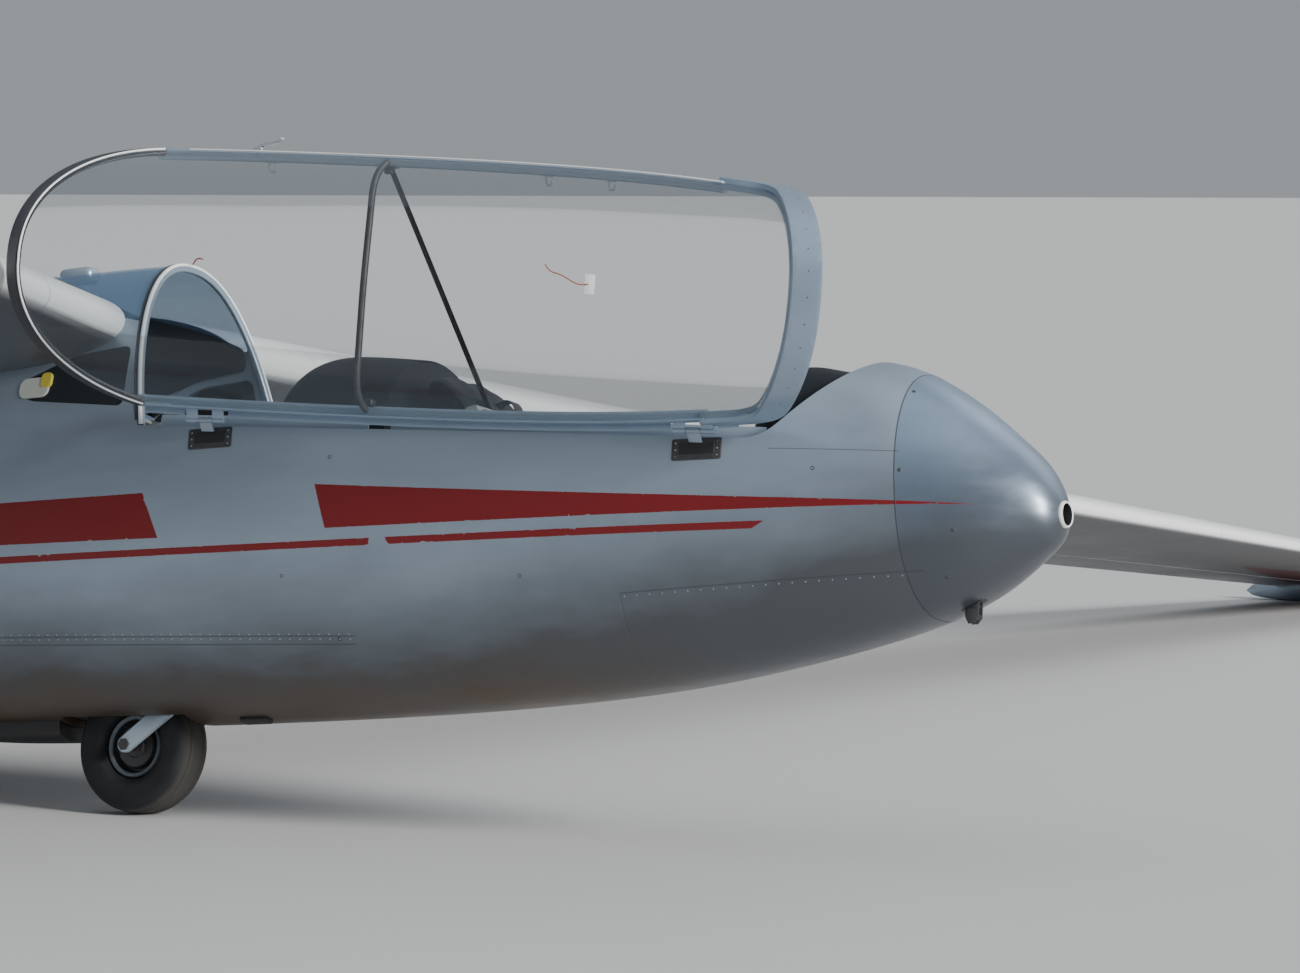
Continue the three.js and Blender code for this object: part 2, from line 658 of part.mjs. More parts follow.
const CANOPY = {
  openAngle: rad(94),
  rail: 30,
  strip: 62,
  arch: 38,
  deep: 20,
  lip: 48, // how far the front strip laps over the nose
  lipThick: 3,
  hingeRear: V(420, -363, 793),
  hingeFront: V(1840, -319, 674),
  braceX: 902,
  braceHigh: 66,
};
const canopyShell = outer.subtract(hull(CANOPY.deep));
const shutZone = prism(openingOutline(CLEAR, CLEAR, CLEAR), -FAR, FAR);
const glassZone = (margin) => prism(openingOutline(
  CLEAR + CANOPY.rail + margin, CLEAR + CANOPY.strip + margin, CLEAR + CANOPY.arch + margin,
), -FAR, FAR);
const archZone = (margin) => prism([
  [-200, 0], [hoopX(0) + CLEAR + CANOPY.arch + margin, 0],
  [hoopX(TOP) + CLEAR + CANOPY.arch + margin, TOP], [-200, TOP],
], -FAR, FAR);

const canopy = pivot("canopy_pivot", CANOPY.hingeRear, CANOPY.hingeFront, CANOPY.openAngle);

// A knuckle on the hinge line, with an arm inboard to the rail or down the skin.
const hingeLine = CANOPY.hingeFront.clone().sub(CANOPY.hingeRear);
function knuckle(at, from, to, arms) {
  const turn = new THREE.Quaternion().setFromUnitVectors(V(1, 0, 0), hingeLine.clone().normalize());
  const place = CANOPY.hingeRear.clone().addScaledVector(hingeLine, at);
  const pin = new THREE.CylinderGeometry(8, 8, to - from, 14).rotateZ(-Math.PI / 2)
    .translate((from + to) / 2, 0, 0);
  const leaves = arms.map(([y0, y1, z0, z1]) => new THREE.BoxGeometry(to - from, y1 - y0, z1 - z0)
    .translate((from + to) / 2, (y0 + y1) / 2, (z0 + z1) / 2));
  return [pin, ...leaves].map((shape) =>
    solidOf(shape.applyQuaternion(turn).translate(place.x, place.y, place.z)))
    .reduce((joined, piece) => joined.add(piece));
}
const KNUCKLE_SINK = 4; // how far a moving arm stops short of the rail's inner side
const MOVING_ARM = [[0, 62, 0, 8]];
const FIXED_ARM = [[-4, 60, -50, -18], [-6, 8, -24, 0]];
const movingKnuckles = [0, 1].flatMap((at) => [[-58, -21], [21, 58]]
  .map(([from, to]) => knuckle(at, from, to, MOVING_ARM)))
  .map((piece) => piece.subtract(hull(CANOPY.deep - KNUCKLE_SINK, ...CABIN)));

const lipShut = prism(openingOutline(CLEAR, -CANOPY.lip, CLEAR), -FAR, FAR);
const strip = hull(-CLEAR - CANOPY.lipThick).subtract(hull(-CLEAR)).intersect(lipShut)
  .add(hull(-CLEAR - CANOPY.lipThick).subtract(hull(CANOPY.deep)).intersect(shutZone))
  .subtract(glassZone(0));
const rails = movingKnuckles.reduce((joined, piece) => joined.add(piece),
  canopyShell.intersect(shutZone).subtract(glassZone(0)).subtract(archZone(0))
    .add(strip.subtract(prism(openingOutline(-FAR, CANOPY.strip, -FAR), -FAR, FAR))));
addTo(canopy, "canopy_frame", rails, SILVER);
addTo(canopy, "canopy_rear_arch",
  canopyShell.intersect(shutZone).intersect(archZone(-TOUCH)), RUBBER);

// The glass in six parts, each so lightly curved that its collision pieces follow it
const GLASS_CROWN = 180; // half width of the parts along the top
const glass = paneShell.intersect(glassZone(0.4));
for (const [end, x0, x1] of [["rear", -FAR, CANOPY.braceX], ["front", CANOPY.braceX, FAR]]) {
  for (const [side, y0, y1] of [["port", GLASS_CROWN, FAR],
    ["crown", -GLASS_CROWN, GLASS_CROWN], ["starboard", -FAR, -GLASS_CROWN]]) {
    const part = block(x0 + TOUCH / 2, x1 - TOUCH / 2, y0 + TOUCH / 2, y1 - TOUCH / 2, -FAR, FAR);
    addTo(canopy, `canopy_glass_${end}_${side}`, glass.intersect(part), GLASS);
  }
}

const braceZ = sillZ(CANOPY.braceX);
const brace = tube([
  V(CANOPY.braceX + 10, -345, braceZ + 14), V(CANOPY.braceX + 6, -316, braceZ + 30),
  V(CANOPY.braceX, -272, braceZ + CANOPY.braceHigh), V(CANOPY.braceX, 0, braceZ + CANOPY.braceHigh + 8),
  V(CANOPY.braceX, 272, braceZ + CANOPY.braceHigh), V(CANOPY.braceX + 6, 316, braceZ + 30),
  V(CANOPY.braceX + 10, 345, braceZ + 14),
], 8, 30).intersect(hull(CANOPY.deep + TOUCH, ...CABIN));
addTo(canopy, "canopy_brace", brace, GREY);

["rear", "front"].forEach((place, at) => {
  const fixed = knuckle(at, -20, 20, FIXED_ARM).subtract(outsideHull);
  add(`canopy_hinge_${place}`, fixed, BLACK);
});

// Main gear

const FORK = { pivot: [172, 118], arm: 14, y: 82, wide: 27, bar: 24.7 };
function forkArm(y) {
  const [px, pz] = FORK.pivot;
  const slope = Math.atan2(pz, px);
  const outline = [];
  for (const [x, z, radius, start] of [[0, 0, FORK.wide, slope + Math.PI / 2],
    [px, pz, FORK.bar, slope - Math.PI / 2]]) {
    for (let k = 0; k <= 6; k++) {
      const angle = start + (k / 6) * Math.PI;
      outline.push([x + radius * Math.cos(angle), z + radius * Math.sin(angle)]);
    }
  }
  return prism(outline, y - FORK.arm / 2, y + FORK.arm / 2);
}
const AXLE = MAIN.bore - 0.6;
const fork = forkArm(FORK.y)
  .add(forkArm(-FORK.y))
  .add(barY(FORK.bar, 2 * FORK.y, FORK.pivot[0], 0, FORK.pivot[1]))
  .subtract(barY(AXLE + TOUCH + 0.1, 400, 0, 0, 0));
add("main_gear_fork", fork, PALE);
const axleHalf = FORK.y + FORK.arm / 2 + 8;
add("main_axle", barY(AXLE, 2 * axleHalf, 0, 0, 0), GREY);
const mainWheel = pivot("main_wheel_pivot", V(0, 0, 0), V(1, 0, 0));
add("main_tyre", tyre(MAIN), RUBBER, mainWheel);
add("main_wheel_disc", wheelDisc(MAIN), PALE, mainWheel);

const FAIRING = [
  // station, bottom, half width
  [-215, 22, 84],
  [-420, 30, 72],
  [-700, 62, 40],
  [-860, 96, 12],
];
const fairing = loft(FAIRING.map(([x, bottom, half]) => {
  const ring = [V(x, half, 300), V(x, half, bottom + 26)];
  for (let k = 0; k <= 6; k++) {
    const angle = (k / 6) * Math.PI;
    ring.push(V(x, half * Math.cos(angle) * 0.96, bottom + 20 - 20 * Math.sin(angle)));
  }
  ring.push(V(x, -half, bottom + 26), V(x, -half, 300));
  return ring;
}), flatX).subtract(outsideHull);
add("belly_fairing", fairing, SILVER);

// Aft fuselage and tail wheel

const rudderCut = splitFlap(finSolid(), {
  a: FIN.hingeLow, b: FIN.hingeHigh, aft: V(-1, 0, 0), nose: FIN.nose,
  from: RUDDER_LOW, to: RUDDER_HIGH - FIN.hingeLow.z,
  cutFrom: -400, cutTo: 2400, lugs: [480, 1340],
});
const TAIL_SLOT = { long: 108 + CLEAR, half: 48.3, high: 508 };
const aftShell = outer
  .intersect(block(-FAR * 3, FRAME_JOINT - TOUCH / 2, -FAR, FAR, -FAR, FAR))
  .subtract(rudderCut.slot)
  .subtract(block(TAIL.x - TAIL_SLOT.long, TAIL.x + TAIL_SLOT.long,
    -TAIL_SLOT.half, TAIL_SLOT.half, -FAR, TAIL_SLOT.high + CLEAR));
add("fuselage_aft", aftShell, SILVER);

function tailFork() {
  const half = TAIL_SLOT.half - TOUCH;
  const top = TAIL_SLOT.high + CLEAR - TOUCH;
  const wheelRoom = block(-FAR, FAR, -half + 6, half - 6, -FAR, top - 5);
  const cheeks = prism([
    [TAIL.x - 26, TAIL.z - 24], [TAIL.x + 26, TAIL.z - 24], [TAIL.x + 70, top], [TAIL.x - 70, top],
  ], -half, half);
  return cheeks.subtract(wheelRoom.translate([TAIL.x, 0, 0]))
    .subtract(barY(TAIL.bore - 0.2, 200, TAIL.x, 0, TAIL.z));
}
add("tail_wheel_fork", tailFork(), GREY);
add("tail_axle", barY(TAIL.bore - 0.6, 2 * TAIL_SLOT.half - 1, TAIL.x, 0, TAIL.z), GREY);
const tailWheel = pivot("tail_wheel_pivot", V(TAIL.x, 0, TAIL.z), V(TAIL.x + 1, 0, TAIL.z));
add("tail_tyre", tyre(TAIL), RUBBER, tailWheel);
add("tail_wheel_disc", wheelDisc(TAIL), PALE, tailWheel);

// Tail surfaces

const tailplaneCut = splitFlap(tailplaneSolid(0), {
  a: V(TAILPLANE.hingeX, -1800, TAILPLANE.z), b: V(TAILPLANE.hingeX, 1800, TAILPLANE.z),
  aft: V(-1, 0, 0), nose: TAILPLANE.nose, from: 0, to: 3600, cutFrom: -200, cutTo: 3800,
  lugs: [1060, 2540],
});
add("tailplane", tailplaneCut.rest, WHITE);
add("fin", rudderCut.rest.subtract(outsideHull).subtract(tailplaneSolid(TOUCH))
  .subtract(block(-FAR * 3, TAILPLANE.hingeX + TAILPLANE.nose + 30, -FAR, FAR, 2060, FAR)), SILVER);

const rudder = pivot("rudder_pivot", FIN.hingeLow, FIN.hingeHigh);
addTo(rudder, "rudder", rudderCut.flap, SILVER);

// The elevator's two halves meet at a torque tube, with a notch that clears the rudder.
const notch = loft([-FAR, FAR].map((z) => [
  V(TAILPLANE.hingeX + 60, TAILPLANE.notchNear, z), V(-6000, TAILPLANE.notchFar + 60, z),
  V(-6000, -TAILPLANE.notchFar - 60, z), V(TAILPLANE.hingeX + 60, -TAILPLANE.notchNear, z),
]), flatZ);
const elevatorHalves = tailplaneCut.flap.subtract(notch)
  .add(barY(16, 400, TAILPLANE.hingeX, 0, TAILPLANE.z, 14));
const elevator = pivot("elevator_pivot", V(TAILPLANE.hingeX, 0, TAILPLANE.z),
  V(TAILPLANE.hingeX, 1, TAILPLANE.z));
addTo(elevator, "elevator", elevatorHalves, WHITE);

// Wings, ailerons, airbrakes and tip bodies

const aileronSpan = aileronHinge[0].distanceTo(aileronHinge[1]);
const wingCut = splitFlap(wingSolid(0), {
  a: aileronHinge[0], b: aileronHinge[1], aft: V(-1, 0, 0), nose: AILERON.nose,
  from: CLEAR, to: aileronSpan - CLEAR, cutFrom: 0, cutTo: aileronSpan,
  lugs: [0.12, 0.5, 0.88].map((part) => part * aileronSpan),
});

const TIP_BODY = { half: 540, radius: 64, drop: 14 };
function tipBody() {
  const profile = [];
  const { half, radius, drop } = TIP_BODY;
  for (let k = 0; k <= 12; k++) {
    const along = -half + (k / 12) * 2 * half;
    const t = 1 - (k / 12);
    profile.push(new THREE.Vector2(
      k === 0 || k === 12 ? 0 : radius * Math.sqrt(Math.sin(Math.PI * t ** 1.25)), along,
    ));
  }
  const spindle = new THREE.LatheGeometry(profile, 18).rotateZ(-Math.PI / 2);
  const middle = wingPoint(WING_TIP_Y, 0.46, 0);
  return solidOf(spindle.translate(middle.x, WING_TIP_Y - drop, middle.z - drop))
    .subtract(wingSolid(TOUCH));
}

function airbrake(upper) {
  const { along, back, out, surface } = brakeFrame(upper);
  const length = BRAKE.outer - BRAKE.inner;
  const boxAt = (play, grow, lift, high) => {
    const shape = new THREE.BoxGeometry(length + 2 * play, BRAKE.thick + 2 * grow, high);
    shape.translate(0, 0, lift - high / 2);
    const basis = new THREE.Matrix4().makeBasis(along, back, out);
    return solidOf(shape.applyMatrix4(basis).translate(surface.x, surface.y, surface.z));
  };
  return {
    plate: boxAt(0, 0, -BRAKE.recess, BRAKE.high),
    slot: boxAt(LUG.play, CLEAR, 200, 200 + BRAKE.recess + BRAKE.high + CLEAR),
    out,
    surface,
  };
}

const brakes = [["upper", airbrake(true)], ["lower", airbrake(false)]];
const portWing = brakes.reduce((rest, [, brake]) => rest.subtract(brake.slot), wingCut.rest)
  .subtract(outsideHull);

for (const [side, flip] of [["port", 1], ["starboard", -1]]) {
  const turn = (solid) => (flip === 1 ? solid : mirrored(solid));
  const turnPoint = (point) => V(point.x, point.y * flip, point.z);
  add(`wing_${side}`, turn(portWing), WHITE);
  const [a, b] = aileronHinge.map(turnPoint);
  addTo(pivot(`aileron_${side}_pivot`, a, b), `aileron_${side}`, turn(wingCut.flap), WHITE);
  add(`wing_tip_body_${side}`, turn(tipBody()), SILVER);
  for (const [place, brake] of brakes) {
    const foot = turnPoint(brake.surface);
    const slide = pivot(`airbrake_${place}_${side}_pivot`, foot, foot.clone().add(turnPoint(brake.out)));
    addTo(slide, `airbrake_${place}_${side}`, turn(brake.plate), RED);
  }
}

// Stance: pitch and roll until the main wheel, the tail wheel and the port tip are level

function lowest(name) {
  const mesh = airframe.getObjectByName(name);
  const box = new THREE.Box3().setFromObject(mesh, true);
  return box.min.z;
}
const stance = { pitch: rad(5), roll: rad(11) };
for (let k = 0; k < 25; k++) {
  airframe.rotation.set(-stance.roll, -stance.pitch, 0, "YXZ");
  root.updateMatrixWorld(true);
  const ground = lowest("main_tyre");
  stance.pitch += (lowest("tail_tyre") - ground) / Math.abs(TAIL.x);
  stance.roll += (lowest("wing_tip_body_port") - ground) / WING_TIP_Y;
}
airframe.rotation.set(-stance.roll, -stance.pitch, 0, "YXZ");
root.updateMatrixWorld(true);

// The part's origin is the middle of its box, on the ground.
const box = new THREE.Box3().setFromObject(airframe, true);
airframe.position.set(-(box.min.x + box.max.x) / 2, -(box.min.y + box.max.y) / 2, -box.min.z);

export default root;
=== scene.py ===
# A two-seat metal sailplane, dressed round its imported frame.
# Forms are made in the airframe's own frame, in millimetres: origin at the main axle,
# +X forward, +Y to port, +Z up. Placing a piece turns its mesh into the row frame, in metres.
import functools
import json
import math

import bmesh
import bpy
import numpy as np
from mathutils import Matrix, Vector


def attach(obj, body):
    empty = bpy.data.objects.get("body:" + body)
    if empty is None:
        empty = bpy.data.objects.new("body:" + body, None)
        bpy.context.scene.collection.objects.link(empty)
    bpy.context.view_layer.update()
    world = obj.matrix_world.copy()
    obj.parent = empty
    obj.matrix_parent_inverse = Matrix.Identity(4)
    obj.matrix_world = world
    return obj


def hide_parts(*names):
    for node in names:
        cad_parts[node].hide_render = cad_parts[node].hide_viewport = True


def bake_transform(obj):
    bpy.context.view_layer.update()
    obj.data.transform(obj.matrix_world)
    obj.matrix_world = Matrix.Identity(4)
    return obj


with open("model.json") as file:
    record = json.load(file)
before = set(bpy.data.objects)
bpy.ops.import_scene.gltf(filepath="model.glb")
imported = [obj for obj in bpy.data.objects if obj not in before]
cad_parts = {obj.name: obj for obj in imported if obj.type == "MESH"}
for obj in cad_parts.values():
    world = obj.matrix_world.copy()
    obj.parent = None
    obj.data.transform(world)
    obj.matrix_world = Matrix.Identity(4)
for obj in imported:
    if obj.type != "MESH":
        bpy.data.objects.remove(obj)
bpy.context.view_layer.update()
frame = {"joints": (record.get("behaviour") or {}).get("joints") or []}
MM = 0.001


def new_object(name, data):
    obj = bpy.data.objects.new(name, data)
    bpy.context.scene.collection.objects.link(obj)
    return obj


# Camera: fitted to the photo, aimed from 1.7 m above the ground
LENS_PIXELS = 5480.0
PHOTO_WIDE = 1300
SENSOR = 36.0
AIM_YAW = math.radians(29.5)
AIM_DOWN = math.radians(2.84)
camera = new_object("camera", bpy.data.cameras.new("camera"))
camera.data.sensor_width = SENSOR
camera.data.lens = LENS_PIXELS / PHOTO_WIDE * SENSOR
camera.data.shift_y = -0.0342
camera.data.clip_end = 500
camera.location = (9.931, -12.191, 1.70)
aim = Vector((-math.sin(AIM_YAW) * math.cos(AIM_DOWN), math.cos(AIM_YAW) * math.cos(AIM_DOWN),
              -math.sin(AIM_DOWN)))
camera.rotation_euler = aim.to_track_quat("-Z", "Y").to_euler()
bpy.context.scene.camera = camera

# The airframe's frame, read from where the record has the two wheels' axles
TAIL_WHEEL = Vector((-5.1, 0, 0.402))
joints = {j["name"]: j for j in frame["joints"]}


def airframe_matrix():
    main = Vector(joints["main_wheel_spin"]["pos_m"])
    across = Vector(joints["main_wheel_spin"]["axis"]).normalized()
    to_tail = (Vector(joints["tail_wheel_spin"]["pos_m"]) - main).normalized()
    back = -TAIL_WHEEL.x / TAIL_WHEEL.length
    up = TAIL_WHEEL.z / TAIL_WHEEL.length
    ahead = -back * to_tail - up * to_tail.cross(across)
    axes = Matrix((ahead, across, ahead.cross(across))).transposed().to_4x4()
    return Matrix.Translation(main) @ axes


AIR = airframe_matrix()

# The canopy's shut place to its open one, both in the airframe's frame
HINGE_REAR = np.array((420, -363, 793.0))
HINGE_FRONT = np.array((1840, -319, 674.0))
OPEN_ANGLE = math.radians(94)
hinge_foot = Vector(HINGE_REAR * MM)
hinge_axis = Vector(HINGE_FRONT - HINGE_REAR).normalized()
SWING = (Matrix.Translation(hinge_foot) @ Matrix.Rotation(OPEN_ANGLE, 4, hinge_axis)
         @ Matrix.Translation(-hinge_foot))
OPEN = AIR @ SWING
SIDE_NAMES = ((1, "port"), (-1, "starboard"))

# Meshes


def tidy(mesh, smooth):
    bm = bmesh.new()
    bm.from_mesh(mesh)
    bmesh.ops.remove_doubles(bm, verts=bm.verts, dist=2e-6)
    bmesh.ops.recalc_face_normals(bm, faces=bm.faces)
    bm.to_mesh(mesh)
    bm.free()
    mesh.shade_smooth()
    mesh.set_sharp_from_angle(angle=math.radians(smooth))


def build(verts, faces, smooth=30):
    """An object in the airframe's frame, not yet placed."""
    mesh = bpy.data.meshes.new("piece")
    mesh.from_pydata(np.asarray(verts, float) * MM, [], faces)
    tidy(mesh, smooth)
    return new_object("piece", mesh)


def quads(rows, count, closed=False):
    """Faces between rings of count points; closed joins the last ring to the first."""
    return [(r * count + i, r * count + (i + 1) % count,
             (r + 1) % rows * count + (i + 1) % count, (r + 1) % rows * count + i)
            for r in range(rows if closed else rows - 1) for i in range(count)]


def loft(rings, smooth=30):
    """A closed solid through rings of equal length, with flat ends."""
    count = len(rings[0])
    last = (len(rings) - 1) * count
    faces = quads(len(rings), count)
    faces += [tuple(range(count))[::-1], tuple(last + i for i in range(count))]
    return build(np.concatenate([np.asarray(ring, float) for ring in rings]), faces, smooth)


def prism(outline, y0=-3000, y1=3000):
    """An outline of (x, z) points between two stations across the airframe."""
    return loft([[(x, y, z) for x, z in outline] for y in (y0, y1)])


def block(x0, x1, y0, y1, z0, z1):
    return prism([(x0, z0), (x1, z0), (x1, z1), (x0, z1)], y0, y1)


def apply_modifiers(obj, smooth=30):
    bpy.context.view_layer.update()
    seen = obj.evaluated_get(bpy.context.evaluated_depsgraph_get())
    mesh = bpy.data.meshes.new_from_object(seen)
    obj.modifiers.clear()
    obj.data = mesh
    tidy(mesh, smooth)
    return obj


def carve(obj, *tools, how="DIFFERENCE"):
    """Cuts obj with closed solids, which are used up."""
    for tool in tools:
        change = obj.modifiers.new("cut", "BOOLEAN")
        change.operation = how
        change.solver = "MANIFOLD"
        change.object = tool
        apply_modifiers(obj)
        bpy.data.objects.remove(tool)
    return obj


keep = functools.partial(carve, how="INTERSECT")
weld = functools.partial(carve, how="UNION")


def bevel(obj, width, segments=2):
    change = obj.modifiers.new("bevel", "BEVEL")
    change.width = width * MM
    change.segments = segments
    change.limit_method = "ANGLE"
    change.angle_limit = math.radians(35)
    return apply_modifiers(obj, 40)


def join(objs):
    """One object from several, with their materials kept."""
    bm = bmesh.new()
    mats = []
    for obj in objs:
        made = len(bm.faces)
        bm.from_mesh(obj.data)
        mats += [material for material in obj.data.materials if material not in mats]
        bm.faces.ensure_lookup_table()
        for face in bm.faces[made:]:
            if mats:
                face.material_index = mats.index(obj.data.materials[face.material_index])
        bpy.data.objects.remove(obj)
    loose = [edge for edge in bm.edges if not edge.link_faces]
    bmesh.ops.delete(bm, geom=loose, context="EDGES")
    mesh = bpy.data.meshes.new("piece")
    bm.to_mesh(mesh)
    bm.free()
    for material in mats:
        mesh.materials.append(material)
    return new_object("piece", mesh)


def sweep(path, ups, profile, smooth=40, closed=False):
    """A profile of (side, up) points carried along a path; ups are the up directions there."""
    path = np.asarray(path, float)
    tangents = np.roll(path, -1, 0) - np.roll(path, 1, 0) if closed else np.gradient(path, axis=0)
    rings = []
    for point, tangent, up in zip(path, tangents, np.asarray(ups, float)):
        tangent = tangent / np.linalg.norm(tangent)
        side = np.cross(tangent, up)
        side /= np.linalg.norm(side)
        up = np.cross(side, tangent)
        rings.append([point + side * u + up * v for u, v in profile])
    if closed:
        return build(np.concatenate(rings), quads(len(rings), len(profile), True), smooth)
    return loft(rings, smooth)


def circle(radius, sides):
    return [(radius * math.cos(k / sides * 2 * math.pi), radius * math.sin(k / sides * 2 * math.pi))
            for k in range(sides)]


def rounded_box(wide, high, radius, steps=4):
    """A rounded rectangle's outline, centred on zero."""
    outline = []
    for cx, cy, start in ((1, 1, 0), (-1, 1, 90), (-1, -1, 180), (1, -1, 270)):
        for k in range(steps + 1):
            angle = math.radians(start + 90 * k / steps)
            outline.append((cx * (wide / 2 - radius) + radius * math.cos(angle),
                            cy * (high / 2 - radius) + radius * math.sin(angle)))
    return outline


def spline_slopes(knots, values):
    """Slopes of the natural cubic spline through values at knots."""
    count = len(knots)
    gap = np.diff(knots)
    left = np.zeros((count, count))
    right = np.zeros(values.shape)
    for k in range(1, count - 1):
        left[k, k - 1] = 1 / gap[k - 1]
        left[k, k] = 2 / gap[k - 1] + 2 / gap[k]
        left[k, k + 1] = 1 / gap[k]
        right[k] = (3 * (values[k] - values[k - 1]) / gap[k - 1] ** 2
                    + 3 * (values[k + 1] - values[k]) / gap[k] ** 2)
    left[0, :2] = (2, 1)
    right[0] = 3 * (values[1] - values[0]) / gap[0]
    left[-1, -2:] = (1, 2)
    right[-1] = 3 * (values[-1] - values[-2]) / gap[-1]
    return np.linalg.solve(left, right)


def spline(knots, values, slopes, at):
    at = np.clip(at, knots[0], knots[-1])
    k = np.clip(np.searchsorted(knots, at) - 1, 0, len(knots) - 2)
    gap = (knots[k + 1] - knots[k])[:, None]
    t = ((at - knots[k])[:, None]) / gap
    return ((2 * t ** 3 - 3 * t ** 2 + 1) * values[k] + (t ** 3 - 2 * t ** 2 + t) * gap * slopes[k]
            + (3 * t ** 2 - 2 * t ** 3) * values[k + 1] + (t ** 3 - t ** 2) * gap * slopes[k + 1])


def knots_along(points):
    """Distances along a line of points, from its first one."""
    return np.concatenate([[0], np.cumsum(np.linalg.norm(np.diff(points, axis=0), axis=1))])


def smooth_path(points, count):
    """A smooth curve through points, cut into equal steps."""
    points = np.asarray(points, float)
    knots = knots_along(points)
    return spline(knots, points, spline_slopes(knots, points), np.linspace(0, knots[-1], count))


def tube(points, radius, count, sides, up=(0, 0, 1)):
    path = smooth_path(points, count)
    return sweep(path, [up] * len(path), circle(radius, sides), 60)


def lathe(profile, sides, at=(0, 0, 0), axis="Y"):
    """A profile of (radius, along) points turned about an axis; the profile is closed."""
    verts = []
    for s in range(sides):
        angle = s / sides * 2 * math.pi
        for radius, along in profile:
            a, b = radius * math.cos(angle), radius * math.sin(angle)
            point = {"Y": (a, along, b), "X": (along, a, b), "Z": (a, b, along)}[axis]
            verts.append([p + q for p, q in zip(point, at)])
    return build(verts, quads(sides, len(profile), True), 35)


def disc(radius, start, end):
    """The lathe's profile of a solid disc."""
    return [(0, start), (radius, start), (radius, end), (0, end)]


def rod(radius, y0, y1, x=0.0, z=0.0, sides=32):
    return lathe(disc(radius, y0, y1), sides, (x, 0, z))


def unit(vector):
    vector = np.asarray(vector, float)
    return vector / np.linalg.norm(vector)


def dress(obj, material):
    obj.data.materials.clear()
    obj.data.materials.append(material)


def place(name, obj, material, *nodes, body="airframe", matrix=AIR):
    """Puts a made piece in the row frame, on its body, with its material."""
    obj.name = name
    obj.data.transform(matrix)
    if material is not None:
        dress(obj, material)
    if body:
        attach(obj, body)
    if nodes:
        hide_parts(*nodes)
    return obj


on_canopy = functools.partial(place, body="canopy", matrix=OPEN)


def both_sides(name, make, material, node, body="airframe"):
    """Places make() to port and its mirror image to starboard; the node's name ends in the side."""
    for _, side in SIDE_NAMES:
        obj = make()
        if side == "starboard":
            for vert in obj.data.vertices:
                vert.co.y = -vert.co.y
            obj.data.flip_normals()
        place(f"{name}_{side}", obj, material, f"{node}_{side}", body=body.format(side))


# Hull

SIDES = 144
OVAL_POWER = 0.9
HULL = np.array([
    # station, bottom, top, half width, height of the widest place
    (2695, 432, 484, 26, 458), (2678, 396, 526, 64, 462), (2640, 362, 588, 106, 472),
    (2570, 314, 656, 158, 482), (2500, 272, 716, 196, 490), (2400, 228, 789, 230, 503),
    (2290, 193, 846, 254, 520), (2180, 167, 876, 272, 538), (2000, 132, 942, 292, 560),
    (1700, 88, 1034, 316, 585), (1400, 64, 1110, 330, 600), (1000, 50, 1192, 340, 612),
    (600, 48, 1246, 345, 620), (200, 52, 1284, 346, 625), (-300, 66, 1290, 338, 630),
    (-900, 100, 1262, 308, 640), (-1600, 170, 1178, 258, 640), (-2400, 262, 1062, 206, 640),
    (-3300, 352, 934, 160, 635), (-4300, 424, 836, 122, 628), (-5460, 486, 762, 86, 622),
], float)
hull_knots = knots_along(HULL[:, :4])
hull_at = functools.partial(spline, hull_knots, HULL, spline_slopes(hull_knots, HULL))
fine_knots = np.linspace(0, hull_knots[-1], 6000)
fine_rows = hull_at(fine_knots)


def knot_at(x):
    return np.interp(-x, -fine_rows[:, 0], fine_knots)


def oval_point(row, angle, inset):
    x, bottom, top, half, wide = row
    across = math.copysign(abs(math.cos(angle)) ** OVAL_POWER, math.cos(angle))
    up = math.copysign(abs(math.sin(angle)) ** OVAL_POWER, math.sin(angle))
    height = (top - wide if up > 0 else wide - bottom) - inset
    return np.array((x, across * (half - inset), wide + up * height))


def hull_rings(front, rear, inset, step):
    """Hull sections from a front station to a rear one, about step apart along the skin."""
    a, b = knot_at(front), knot_at(rear)
    rows = hull_at(np.linspace(a, b, max(2, int((b - a) / step) + 1)))
    return [[oval_point(row, k / SIDES * 2 * math.pi, inset) for k in range(SIDES)] for row in rows]


def hull(front, rear, inset=0.0, step=30):
    return loft(hull_rings(front, rear, inset, step))


def hull_shell(front, rear, inset, thick, step=20):
    """A closed solid between two hulls, open along its middle."""
    outer = hull_rings(front, rear, inset, step)
    inner = hull_rings(front, rear, inset + thick, step)
    base = len(outer) * SIDES
    faces = []
    for face in quads(len(outer), SIDES):
        faces += [face, tuple(base + face[k] for k in (0, 3, 2, 1))]
    for start in (0, base - SIDES):
        for i in range(SIDES):
            a, b = start + i, start + (i + 1) % SIDES
            faces.append((a, b, base + b, base + a))
    return build(np.concatenate([*outer, *inner]), faces)


def on_hull(x, angle, inset=0.0):
    return oval_point(hull_at(np.array([knot_at(x)]))[0], angle, inset)


def hull_normal(x, angle):
    along = on_hull(x + 2, angle) - on_hull(x - 2, angle)
    around = on_hull(x, angle + 0.01) - on_hull(x, angle - 0.01)
    return unit(np.cross(around, along))


def side_angle(x, z):
    """The oval's angle on the port side at a height."""
    _, bottom, top, _, wide = hull_at(np.array([knot_at(x)]))[0]
    part = (z - wide) / (top - wide if z > wide else wide - bottom)
    part = max(-1.0, min(1.0, part))
    return math.copysign(math.asin(abs(part) ** (1 / OVAL_POWER)), part)


def on_side(x, z, side, inset=0.0):
    """A point of the skin at a station and height, side 1 to port and -1 to starboard."""
    return on_hull(x, side_angle(x, z), inset) * (1, side, 1)


def skin_point(x, z, side):
    """A point of the skin and the skin's normal there."""
    return on_side(x, z, side), hull_normal(x, side_angle(x, z)) * (1, side, 1)


